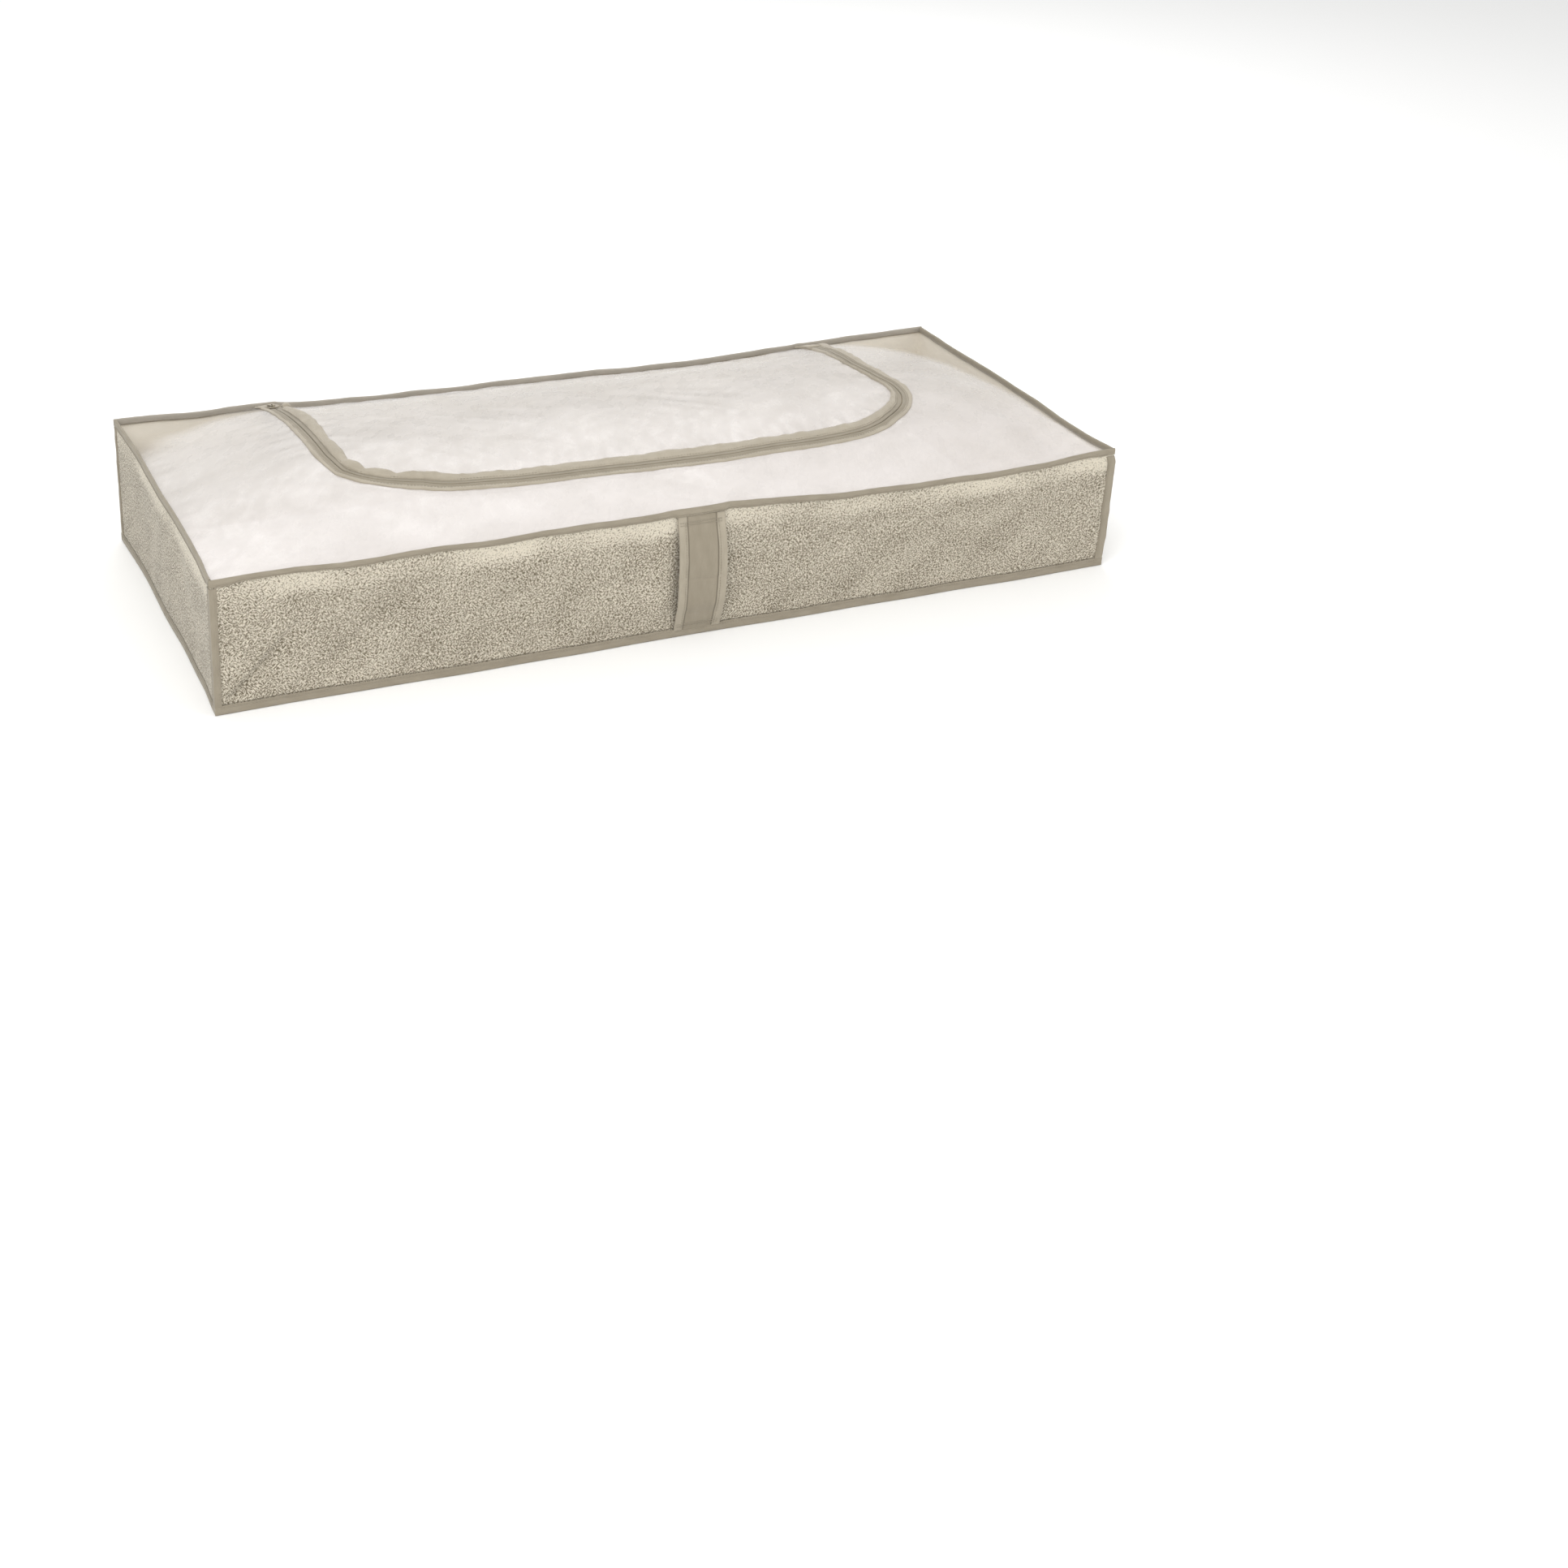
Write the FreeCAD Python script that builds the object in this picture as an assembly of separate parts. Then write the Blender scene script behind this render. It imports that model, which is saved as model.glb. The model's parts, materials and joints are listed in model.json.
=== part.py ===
"""Soft-sided under-bed storage bag: four fabric walls on a fabric base, a crowned clear lid with a U-shaped
zip that frees a flap hinged at the back rim, taped edges and a strap handle on the front wall.

Frame: millimetres, origin at the centre of the base on the floor, +Z up, +X along the length, the handle on -Y.
"""
import FreeCAD
import Part

import math
import os

# Driving dimensions.
LENGTH = 1067.0
DEPTH = 457.0
HEIGHT = 152.0
WALL = 2.0             # thickness of the wall and base fabric
FILM = 1.0             # thickness of the clear lid film
CROWN = 35.0           # rise of the lid's middle over its seam
SEAM_HEIGHT = 147.0    # height of the lid's seam at the rim

# Binding tape folded over every edge seam.
TAPE = 1.2             # thickness of one layer of tape
TAPE_WIDTH = 10.0      # width that shows on a face
RIM_WEB = 1.5          # tape over the wall's top edge
RIM_INNER = 8.0        # height of the rim tape's inner leg
RIM = 2 * TAPE + WALL  # whole thickness of the bound rim

# The zip's centre line, seen from above: two legs, two round bends and a front run.
LEG_X = 358.0
FRONT_Y = -125.0
BEND = 115.0
COIL_GAP = 0.8         # each coil row's distance from the centre line
COIL_WIDTH = 2.0
COIL_DROP = 1.6
ZIP_TAPE = 1.0
ZIP_TAPE_EDGE = 12.0
FILM_EDGE = 8.0
BINDING_EDGE = 6.0     # the bindings leave this much zip tape bare each side
BINDING_HEIGHT = 2.0
OUTER_BINDING = 18.0
FLAP_BINDING = 28.0

# The zip's back ends, where both tapes stay sewn to the rim under a fabric tab.
END_Y = 180.0          # the flap's tape starts in front of this
END_GAP = 1.0
END_INSET = 14.0       # the flap stays this far inboard of the centre line beside the sewn ends
BAR_TACK_Y = 205.0
TAB_Y = 198.0
TAB_HEIGHT = 3.0

# Zip slider, in the frame of the lid's highest line.
SLIDER_Y = 189.5
SLIDER_LENGTH = 12.0
SLIDER_WIDTH = 10.0
SLIDER_PLATE = 1.2
SLIDER_NECK = 1.0
PLATE_CLEARANCE = 0.4
BAIL_WIDTH = 2.4
BAIL_LENGTH = 9.0
BAIL_BAR = 1.0
BAIL_HOLE = 2.4
PIN_RADIUS = 0.7
PULL_WIDTH = 7.0
PULL_LENGTH = 20.0
PULL_THICKNESS = 1.2
PULL_ARM = 1.0

# Handle strap, bowed out from the front wall.
STRAP_WIDTH = 55.0
STRAP = 1.6
STRAP_EDGE = 10.0
EDGE_TAPE = 0.5
STRAP_GAP = 1.0
STRAP_BOW = 12.0
ANCHOR = 8.0
ANCHOR_GAP = 0.6

HALF_X = LENGTH / 2
HALF_Y = DEPTH / 2
LID_X = HALF_X - RIM   # the lid's seam, at the rim's inner faces
LID_Y = HALF_Y - RIM
CROWN_X = 390.0        # the crown keeps its full height out to here
CROWN_RADIUS = (LID_Y ** 2 + CROWN ** 2) / (2 * CROWN)
CROWN_AXIS_Z = SEAM_HEIGHT + CROWN - CROWN_RADIUS
BEND_Y = FRONT_Y + BEND
HINGE_CLEARANCE = 0.6
SKY = HEIGHT + CROWN + 50.0


def vec(x, y, z):
    return FreeCAD.Vector(x, y, z)


def box(low, high):
    size = [b - a for a, b in zip(low, high)]
    return Part.makeBox(*size, vec(*low))


def export(shape, node):
    """Write one node, after checking that it is a closed solid."""
    if not shape.Solids or not shape.isValid():
        raise ValueError(node + " is not a valid solid")
    shape.exportStep("parts/" + node + ".step")
    print(f"{node:28s} {len(shape.Solids)} solid {shape.Volume / 1000:9.2f} cm3")


# Walls, base and the tape on their seams.

def rim_run(half_length):
    """A rim tape along X on the front side: an upside-down U round the wall's top edge."""
    outer = box((-half_length, -HALF_Y, HEIGHT - TAPE_WIDTH), (half_length, -HALF_Y + TAPE, HEIGHT))
    inner = box((-half_length, -LID_Y - TAPE, HEIGHT - RIM_INNER), (half_length, -LID_Y, HEIGHT))
    web = box((-half_length, -HALF_Y + TAPE, HEIGHT - RIM_WEB), (half_length, -LID_Y - TAPE, HEIGHT))
    return outer.fuse([inner, web]).removeSplitter()


def quarter_turned(shape, turns, offset):
    """The shape turned about Z, then moved along X or Y so that its back stands on another side."""
    turned = shape.copy()
    turned.rotate(vec(0, 0, 0), vec(0, 0, 1), 90 * turns)
    turned.translate(vec(*offset))
    return turned


def make_rims():
    side = rim_run(LID_Y)
    shift = HALF_X - HALF_Y
    return {
        "front": rim_run(HALF_X),
        "back": quarter_turned(rim_run(HALF_X), 2, (0, 0, 0)),
        "left": quarter_turned(side, 3, (-shift, 0, 0)),
        "right": quarter_turned(side, 1, (shift, 0, 0)),
    }


def make_walls(rims):
    x, y = HALF_X - TAPE, HALF_Y - TAPE
    top = HEIGHT - RIM_WEB
    walls = {
        "front": box((-x, -y, WALL), (x, -y + WALL, top)),
        "back": box((-x, y - WALL, WALL), (x, y, top)),
        "left": box((-x, -y + WALL, WALL), (-x + WALL, y - WALL, top)),
        "right": box((x - WALL, -y + WALL, WALL), (x, y - WALL, top)),
    }
    cutters = list(rims.values())
    return {side: wall.cut(cutters) for side, wall in walls.items()}


def make_base():
    x, y = HALF_X - TAPE, HALF_Y - TAPE
    return box((-x, -y, 0), (x, y, WALL))


def make_base_bindings():
    x, y = HALF_X - TAPE, HALF_Y - TAPE
    return {
        "front": box((-HALF_X, -HALF_Y, 0), (HALF_X, -y, TAPE_WIDTH)),
        "back": box((-HALF_X, y, 0), (HALF_X, HALF_Y, TAPE_WIDTH)),
        "left": box((-HALF_X, -y, 0), (-x, y, TAPE_WIDTH)),
        "right": box((x, -y, 0), (HALF_X, y, TAPE_WIDTH)),
    }


def corner_binding(x_sign, y_sign):
    """Vertical tape folded round one corner, between the base tape and the rim tape."""
    low, high = TAPE_WIDTH, HEIGHT - TAPE_WIDTH
    corner = box((HALF_X - TAPE_WIDTH, HALF_Y - TAPE_WIDTH, low), (HALF_X, HALF_Y, high))
    inside = box((0, 0, 0), (HALF_X - TAPE, HALF_Y - TAPE, SKY))
    tape = corner.cut(inside)
    if x_sign < 0:
        tape = tape.mirror(vec(0, 0, 0), vec(1, 0, 0))
    if y_sign < 0:
        tape = tape.mirror(vec(0, 0, 0), vec(0, 1, 0))
    return tape


# The lid: everything on it follows one crown, an arc about an axis along X.

def crown_height(y, offset=0.0):
    return CROWN_AXIS_Z + math.sqrt((CROWN_RADIUS + offset) ** 2 - y ** 2)


def crown_edges(x, low, high):
    """Closed section of a layer between two offsets from the lid's top face."""
    corners = [vec(x, y, crown_height(y, offset)) for y, offset in
               ((-LID_Y, low), (LID_Y, low), (LID_Y, high), (-LID_Y, high))]
    bottom = Part.Arc(corners[0], vec(x, 0, crown_height(0, low)), corners[1]).toShape()
    top = Part.Arc(corners[2], vec(x, 0, crown_height(0, high)), corners[3]).toShape()
    back = Part.LineSegment(corners[1], corners[2]).toShape()
    front = Part.LineSegment(corners[3], corners[0]).toShape()
    return Part.Wire([bottom, back, top, front])


def crown_layer(low, high):
    section = Part.Face(crown_edges(-CROWN_X, low, high))
    return section.extrude(vec(2 * CROWN_X, 0, 0))


def lid_end():
    """The film beyond the crown, falling to a straight seam at the +X rim."""
    crowned = crown_edges(CROWN_X, -FILM, 0.0)
    edge_top = crown_height(LID_Y)
    edge_low = crown_height(LID_Y, -FILM)
    corners = [vec(LID_X, y, z) for y, z in
               ((-LID_Y, edge_low), (LID_Y, edge_low), (LID_Y, edge_top), (-LID_Y, edge_top))]
    straight = Part.makePolygon(corners + corners[:1])
    return Part.makeLoft([crowned, straight], True, True)


def zip_region(offset):
    """Everything inside the zip's centre line grown by an offset, as a tall prism back to the lid's seam."""
    leg, front, bend = LEG_X + offset, FRONT_Y - offset, BEND + offset
    slant = bend * math.sqrt(0.5)
    centre_x = LEG_X - BEND
    points = {
        "back_left": vec(-leg, LID_Y, 0),
        "leg_left": vec(-leg, BEND_Y, 0),
        "bend_left": vec(-centre_x - slant, BEND_Y - slant, 0),
        "run_left": vec(-centre_x, front, 0),
        "run_right": vec(centre_x, front, 0),
        "bend_right": vec(centre_x + slant, BEND_Y - slant, 0),
        "leg_right": vec(leg, BEND_Y, 0),
        "back_right": vec(leg, LID_Y, 0),
    }
    edges = [
        Part.LineSegment(points["back_left"], points["leg_left"]),
        Part.Arc(points["leg_left"], points["bend_left"], points["run_left"]),
        Part.LineSegment(points["run_left"], points["run_right"]),
        Part.Arc(points["run_right"], points["bend_right"], points["leg_right"]),
        Part.LineSegment(points["leg_right"], points["back_right"]),
        Part.LineSegment(points["back_right"], points["back_left"]),
    ]
    outline = Part.Wire([edge.toShape() for edge in edges])
    return Part.Face(outline).extrude(vec(0, 0, SKY))


def zip_band(inner, outer):
    return zip_region(outer).cut(zip_region(inner))


def beside_both_legs(inner, outer, y_low, y_high):
    """Two boxes from offset to offset of the left and right legs, counted outward."""
    right = box((LEG_X + inner, y_low, 0), (LEG_X + outer, y_high, SKY))
    return [right, right.mirror(vec(0, 0, 0), vec(1, 0, 0))]


def flap_limits():
    """What the flap leaves free: the zip's sewn ends and a strip along the back rim."""
    ends = beside_both_legs(-END_INSET, OUTER_BINDING, END_Y - END_GAP, LID_Y)
    strip = box((-LID_X, LID_Y - HINGE_CLEARANCE, 0), (LID_X, LID_Y, SKY))
    return ends + [strip]


def make_surround_film():
    end = lid_end()
    film = crown_layer(-FILM, 0.0).fuse([end, end.mirror(vec(0, 0, 0), vec(1, 0, 0))])
    return film.removeSplitter().cut(zip_region(FILM_EDGE))


def make_outer_tape():
    """The fixed zip tape. At its back ends it holds the last stretch of the inner tape too."""
    band = zip_band(COIL_GAP, ZIP_TAPE_EDGE)
    stubs = beside_both_legs(-ZIP_TAPE_EDGE, -COIL_GAP, END_Y, LID_Y)
    tacks = beside_both_legs(-COIL_GAP, COIL_GAP, BAR_TACK_Y, LID_Y)
    return crown_layer(0.0, ZIP_TAPE).common(band.fuse(stubs + tacks)).removeSplitter()


def make_outer_coil():
    behind = box((-LID_X, BAR_TACK_Y, 0), (LID_X, LID_Y, SKY))
    band = zip_band(COIL_GAP, COIL_GAP + COIL_WIDTH).cut(behind)
    return crown_layer(-COIL_DROP, 0.0).common(band)


def make_outer_binding(outer_tape):
    band = zip_band(BINDING_EDGE, OUTER_BINDING)
    return crown_layer(0.0, BINDING_HEIGHT).common(band).cut(outer_tape)


def make_end_tab(outer_tape, outer_binding, x_sign):
    """Fabric tab from the rim over the zip's sewn back end."""
    right = box((LEG_X - ZIP_TAPE_EDGE, TAB_Y, 0), (LEG_X + OUTER_BINDING, LID_Y, SKY))
    area = right if x_sign > 0 else right.mirror(vec(0, 0, 0), vec(1, 0, 0))
    return crown_layer(ZIP_TAPE, TAB_HEIGHT).common(area).cut([outer_tape, outer_binding])


def make_flap():
    limits = flap_limits()
    film = crown_layer(-FILM, 0.0).common(zip_region(-FILM_EDGE)).cut(limits)
    tape = crown_layer(0.0, ZIP_TAPE).common(zip_band(-ZIP_TAPE_EDGE, -COIL_GAP)).cut(limits)
    coil = crown_layer(-COIL_DROP, 0.0).common(zip_band(-COIL_GAP - COIL_WIDTH, -COIL_GAP)).cut(limits)
    band = zip_band(-FLAP_BINDING, -BINDING_EDGE)
    binding = crown_layer(0.0, BINDING_HEIGHT).common(band).cut(limits + [tape])
    return film, tape, coil, binding


# Zip slider: built on the lid's highest line over the left leg, then swung back to its parked place.

def onto_left_leg(shape):
    angle = math.degrees(math.asin(SLIDER_Y / CROWN_RADIUS))
    placed = shape.copy()
    placed.translate(vec(-LEG_X, 0, crown_height(0)))
    placed.rotate(vec(0, 0, CROWN_AXIS_Z), vec(1, 0, 0), -angle)
    return placed


def plate(bottom):
    """A slider plate, wide in front and narrow behind, with its flat bottom at a height."""
    half, length = SLIDER_WIDTH / 2, SLIDER_LENGTH / 2
    corners = [vec(-half, -length, bottom), vec(half, -length, bottom),
               vec(half, 0, bottom), vec(half * 0.7, length, bottom),
               vec(-half * 0.7, length, bottom), vec(-half, 0, bottom)]
    outline = Part.makePolygon(corners + corners[:1])
    return Part.Face(outline).extrude(vec(0, 0, SLIDER_PLATE))


PLATE_TOP = ZIP_TAPE + PLATE_CLEARANCE + SLIDER_PLATE
PIN_HEIGHT = PLATE_TOP + BAIL_HOLE / 2


def make_slider():
    upper = plate(ZIP_TAPE + PLATE_CLEARANCE)
    lower_top = -COIL_DROP - PLATE_CLEARANCE
    lower = plate(lower_top - SLIDER_PLATE)
    neck = box((-SLIDER_NECK / 2, -SLIDER_LENGTH / 2, lower_top),
               (SLIDER_NECK / 2, 0, ZIP_TAPE + PLATE_CLEARANCE))
    half_w, half_l = BAIL_WIDTH / 2, BAIL_LENGTH / 2
    arch_top = PLATE_TOP + BAIL_HOLE + BAIL_BAR
    arch = box((-half_w, -half_l, PLATE_TOP), (half_w, half_l, arch_top))
    hole = box((-half_w, -half_l + BAIL_BAR, PLATE_TOP), (half_w, half_l - BAIL_BAR, arch_top - BAIL_BAR))
    bail = arch.cut(hole)
    return onto_left_leg(upper.fuse([neck, lower, bail]).removeSplitter())


def make_pull():
    """Pull tab with a cross pin through the slider's bail, lying back towards the rim."""
    arm_in = BAIL_WIDTH / 2 + PLATE_CLEARANCE
    arm_out = arm_in + PULL_ARM
    tab_start = BAIL_LENGTH / 2 + 2 * PLATE_CLEARANCE
    low, high = PIN_HEIGHT - PULL_THICKNESS / 2, PIN_HEIGHT + PULL_THICKNESS / 2
    pin = Part.makeCylinder(PIN_RADIUS, 2 * arm_out, vec(-arm_out, 0, PIN_HEIGHT), vec(1, 0, 0))
    tab = box((-PULL_WIDTH / 2, tab_start, low), (PULL_WIDTH / 2, PULL_LENGTH, high))
    corners = [edge for edge in tab.Edges if abs(edge.BoundBox.ZLength - PULL_THICKNESS) < 1e-6
               and edge.BoundBox.YMin > tab_start]
    tab = tab.makeFillet(PULL_WIDTH / 4, corners)
    arms = [box((x, 0, low), (x + PULL_ARM, tab_start + 1.0, high)) for x in (arm_in, -arm_out)]
    return onto_left_leg(tab.fuse(arms + [pin]).removeSplitter())


# Handle: a vertical strap with taped edges, sewn to the front wall at both ends.

WALL_FACE = -HALF_Y + TAPE
STRAP_LOW = TAPE_WIDTH + ANCHOR + ANCHOR_GAP
STRAP_HIGH = HEIGHT - TAPE_WIDTH - ANCHOR - ANCHOR_GAP


def strap_layer(low, high, x_low, x_high):
    """A bowed layer of the strap between two distances from its inner face."""
    mid = (STRAP_LOW + STRAP_HIGH) / 2

    def arc(distance):
        end, bow = WALL_FACE - STRAP_GAP - distance, WALL_FACE - STRAP_GAP - STRAP_BOW - distance
        return vec(x_low, end, STRAP_LOW), vec(x_low, bow, mid), vec(x_low, end, STRAP_HIGH)

    inner, outer = arc(low), arc(high)
    edges = [
        Part.Arc(*inner).toShape(),
        Part.LineSegment(inner[2], outer[2]).toShape(),
        Part.Arc(*reversed(outer)).toShape(),
        Part.LineSegment(outer[0], inner[0]).toShape(),
    ]
    return Part.Face(Part.Wire(edges)).extrude(vec(x_high - x_low, 0, 0))


def make_strap():
    half = STRAP_WIDTH / 2
    strap = strap_layer(EDGE_TAPE, EDGE_TAPE + STRAP, -half, half)
    outside = half + EDGE_TAPE
    whole = strap_layer(0.0, 2 * EDGE_TAPE + STRAP, outside - STRAP_EDGE, outside)
    right = whole.cut(strap)
    left = right.mirror(vec(0, 0, 0), vec(1, 0, 0))
    return strap, left, right


def make_anchor(low):
    """One sewn end of the strap, flat on the wall."""
    half = STRAP_WIDTH / 2 + EDGE_TAPE
    return box((-half, WALL_FACE - STRAP - EDGE_TAPE, low), (half, WALL_FACE, low + ANCHOR))


def main():
    os.makedirs("parts", exist_ok=True)
    rims = make_rims()
    bindings = make_base_bindings()
    for side, wall in make_walls(rims).items():
        export(wall, side + "_wall")
        export(rims[side], "rim_binding_" + side)
        export(bindings[side], "base_binding_" + side)
    export(make_base(), "base_panel")
    for x_name, x_sign in (("left", -1), ("right", 1)):
        for y_name, y_sign in (("front", -1), ("back", 1)):
            export(corner_binding(x_sign, y_sign), f"corner_binding_{y_name}_{x_name}")

    outer_tape = make_outer_tape()
    outer_binding = make_outer_binding(outer_tape)
    export(make_surround_film(), "lid_surround_film")
    export(outer_tape, "zip_tape_outer")
    export(make_outer_coil(), "zip_coil_outer")
    export(outer_binding, "lid_surround_binding")
    export(make_end_tab(outer_tape, outer_binding, -1), "zip_end_tab_left")
    export(make_end_tab(outer_tape, outer_binding, 1), "zip_end_tab_right")

    flap = zip(("lid_flap_film", "zip_tape_inner", "zip_coil_inner", "lid_flap_binding"), make_flap())
    for node, shape in flap:
        export(shape, node)

    export(make_slider(), "zip_slider_body")
    export(make_pull(), "zip_pull_tab")

    handle = zip(("handle_strap", "handle_edge_tape_left", "handle_edge_tape_right"), make_strap())
    for node, shape in handle:
        export(shape, node)
    export(make_anchor(TAPE_WIDTH), "handle_bottom_end")
    export(make_anchor(HEIGHT - TAPE_WIDTH - ANCHOR), "handle_top_end")

    pin = vec(-LEG_X, 0, crown_height(0) + PIN_HEIGHT)
    spot = Part.Vertex(pin)
    spot.rotate(vec(0, 0, CROWN_AXIS_Z), vec(1, 0, 0), -math.degrees(math.asin(SLIDER_Y / CROWN_RADIUS)))
    print("crown axis z", round(CROWN_AXIS_Z, 3), "radius", round(CROWN_RADIUS, 3))
    print("pull pin", [round(value, 3) for value in spot.Point])


main()
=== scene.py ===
"""Looks of the under-bed box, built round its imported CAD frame: soft fabric walls, folded edge tapes, a crowned
film lid with its U-shaped zip, and a strap handle. Shapes are worked out in millimetres, in the CAD frame's axes."""
import json
import math

import bmesh
import bpy
import numpy as np
from mathutils import Matrix, Vector, noise


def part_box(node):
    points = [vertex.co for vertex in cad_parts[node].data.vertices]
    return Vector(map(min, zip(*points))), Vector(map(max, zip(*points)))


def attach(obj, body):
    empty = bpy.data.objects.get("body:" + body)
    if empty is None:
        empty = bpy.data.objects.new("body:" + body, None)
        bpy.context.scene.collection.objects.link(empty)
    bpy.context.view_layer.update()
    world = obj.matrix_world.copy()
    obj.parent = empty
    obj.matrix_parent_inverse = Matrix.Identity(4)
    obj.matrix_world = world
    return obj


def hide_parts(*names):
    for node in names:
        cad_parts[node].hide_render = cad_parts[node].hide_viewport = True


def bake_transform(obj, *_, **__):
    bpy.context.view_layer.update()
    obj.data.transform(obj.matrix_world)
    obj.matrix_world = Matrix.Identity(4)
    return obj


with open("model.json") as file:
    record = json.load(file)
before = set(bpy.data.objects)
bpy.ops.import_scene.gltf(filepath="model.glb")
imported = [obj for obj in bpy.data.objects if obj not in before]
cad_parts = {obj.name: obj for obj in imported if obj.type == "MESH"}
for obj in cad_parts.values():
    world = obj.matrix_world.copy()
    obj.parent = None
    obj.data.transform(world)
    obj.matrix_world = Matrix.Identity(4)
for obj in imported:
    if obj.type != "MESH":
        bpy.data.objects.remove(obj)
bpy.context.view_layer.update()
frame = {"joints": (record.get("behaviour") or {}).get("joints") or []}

MM = 0.001
FRONT, RIGHT, LEFT, BACK = range(4)


# Sizes read from the frame.

def cad_box(node):
    return [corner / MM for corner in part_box(node)]


rim_low, rim_high = cad_box("rim_binding_front")
tape_low, tape_high = cad_box("zip_tape_outer")
film_low, film_high = cad_box("lid_surround_film")
strap_low, strap_high = cad_box("handle_strap")
HALF_X, HALF_Y, TOP = rim_high.x, -rim_low.y, rim_high.z
RIM = rim_high.y - rim_low.y
LID_X, LID_Y = HALF_X - RIM, HALF_Y - RIM
TAPE_HALF = 12                          # half the width of the closed zip's two tapes
LEG_X = tape_high.x - TAPE_HALF
FRONT_Y = tape_low.y + TAPE_HALF
BEND = 115                              # radius of the zip's two bends
BEND_Y = FRONT_Y + BEND
CAD_FILM = 1                            # thickness
SEAM_Z = film_low.z + CAD_FILM
CROWN = film_high.z - SEAM_Z
CROWN_R = (LID_Y ** 2 + CROWN ** 2) / (2 * CROWN)
CROWN_X = 390                           # the crown falls away beyond this
HINGE = next(joint for joint in frame["joints"] if joint["name"] == "flap_hinge")["pos_m"]
FLAP_TOP = HINGE[1] / MM
END_Y = cad_box("zip_tape_inner")[1].y  # the flap's zip tape ends here
LEG_LENGTH = LID_Y - BEND_Y
BEND_LENGTH = math.pi / 2 * BEND
ZIP_LENGTH = 2 * LEG_LENGTH + 2 * BEND_LENGTH + 2 * (LEG_X - BEND)
STRAP_HALF = (strap_high.x - strap_low.x) / 2
STRAP_MID = (strap_low.z + strap_high.z) / 2
FACE = 1.2                              # the walls' outer faces sit this far in from the tapes' faces
WALL = 1.1                              # thickness
BASE_TAPE, RIM_TAPE = 10, 142           # heights between which the walls show
FILM_THICKNESS = 0.4
SEAM_ALLOWANCE = 8                      # flat cloth hidden in its seams, over both edges


# Number helpers.

def smooth(low, high, value):
    """0 at low, 1 at high, and an S curve between. low may be the larger."""
    t = np.clip((np.asarray(value, float) - low) / (high - low), 0, 1)
    return t * t * (3 - 2 * t)


def bell(value, width):
    return np.exp(-(np.asarray(value, float) / width) ** 2)


def wavy(wavelength, seed, x, y=None):
    """Smooth noise from about -1 to 1 along x, or over x and y."""
    x, y = np.broadcast_arrays(x, 0.3 * wavelength if y is None else y)
    places = np.stack([x.ravel() / wavelength, y.ravel() / wavelength, np.full(x.size, 0.5)], -1)
    places = places + seed * np.array([7.31, 3.17, 1.73])
    return 1.6 * np.array([noise.noise(Vector(place)) for place in places]).reshape(x.shape)


def table(value, pairs):
    """Straight lines between (place, amount) pairs."""
    return np.interp(value, *np.transpose(pairs))


def stack(*parts):
    return np.stack(np.broadcast_arrays(*parts), -1)


def grid(first, second):
    return np.meshgrid(first, second, indexing="ij")


def length_along(points):
    return np.concatenate([[0], np.cumsum(np.linalg.norm(np.diff(points, axis=0), axis=1))])


def unit(vectors):
    return vectors / np.linalg.norm(vectors, axis=1)[:, None]


# Shapes that every piece shares.

def crown_height(x, y):
    """Height of the lid's top face in plan."""
    x = abs(x)
    arc = np.sqrt(CROWN_R ** 2 - np.clip(y, -LID_Y, LID_Y) ** 2) - (CROWN_R - CROWN)
    fall = 1 - smooth(CROWN_X - 30, LID_X + 45, x) / smooth(CROWN_X - 30, LID_X + 45, LID_X)
    dip = 3 * bell(LID_Y - y, 11) * (1 - smooth(0, 16, x - LEG_X + 32) * (x < LEG_X + 26))
    return SEAM_Z + arc * np.clip(fall, 0, 1) - dip


def zip_distance(x, y):
    """Plan distance outward from the zip's centre line, negative on the flap."""
    px, py = abs(x) - (LEG_X - BEND), BEND_Y - y
    return np.where((px > 0) & (py > 0), np.hypot(px, py), np.maximum(px, py)) - BEND


def zip_point(s):
    """Plan point and outward direction at a length along the zip's centre line, from its left back end."""
    first = s < ZIP_LENGTH / 2
    side = np.where(first, -1.0, 1.0)
    t = np.where(first, s, ZIP_LENGTH - s)
    angle = np.clip((t - LEG_LENGTH) / BEND, 0, math.pi / 2)
    run = np.maximum(t - LEG_LENGTH - BEND_LENGTH, 0)
    x = LEG_X - BEND + BEND * np.cos(angle) - run
    y = np.where(t < LEG_LENGTH, LID_Y - t, BEND_Y - BEND * np.sin(angle))
    return side * x, y, side * np.cos(angle), -np.sin(angle)


def beside_zip(s, d):
    """Plan point at a length along the zip and a distance outward from it."""
    x, y, nx, ny = zip_point(s)
    return x + nx * d, y + ny * d


def zip_length_at(x, y):
    """Length along the zip's centre line nearest to a plan point."""
    px, py = abs(x) - (LEG_X - BEND), BEND_Y - y
    angle = np.arctan2(np.maximum(py, 0), np.maximum(px, 1e-9))
    t = np.where(py <= 0, LID_Y - y, LEG_LENGTH + BEND * angle)
    t = np.where((px <= 0) & (py > px) & (py > 0), LEG_LENGTH + BEND_LENGTH - px, t)
    return np.where(x < 0, t, ZIP_LENGTH - t)


# How far the sewn zip line has drifted outward, at lengths along it. Its left leg stays true.
DRIFT = ((0, 0), (240, 0), (262, 1), (288, 5), (310, 0), (331, -6), (354, -13), (378, -17), (402, -10), (426, -3),
         (484, 6), (614, 12), (677, 10), (741, 12), (822, 11), (879, 4), (925, -2), (962, -6), (1003, -5), (1034, -7),
         (1060, -12), (1090, -19), (1150, -23), (1205, -17), (1255, -6), (1290, 0), (1316, 0))

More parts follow.
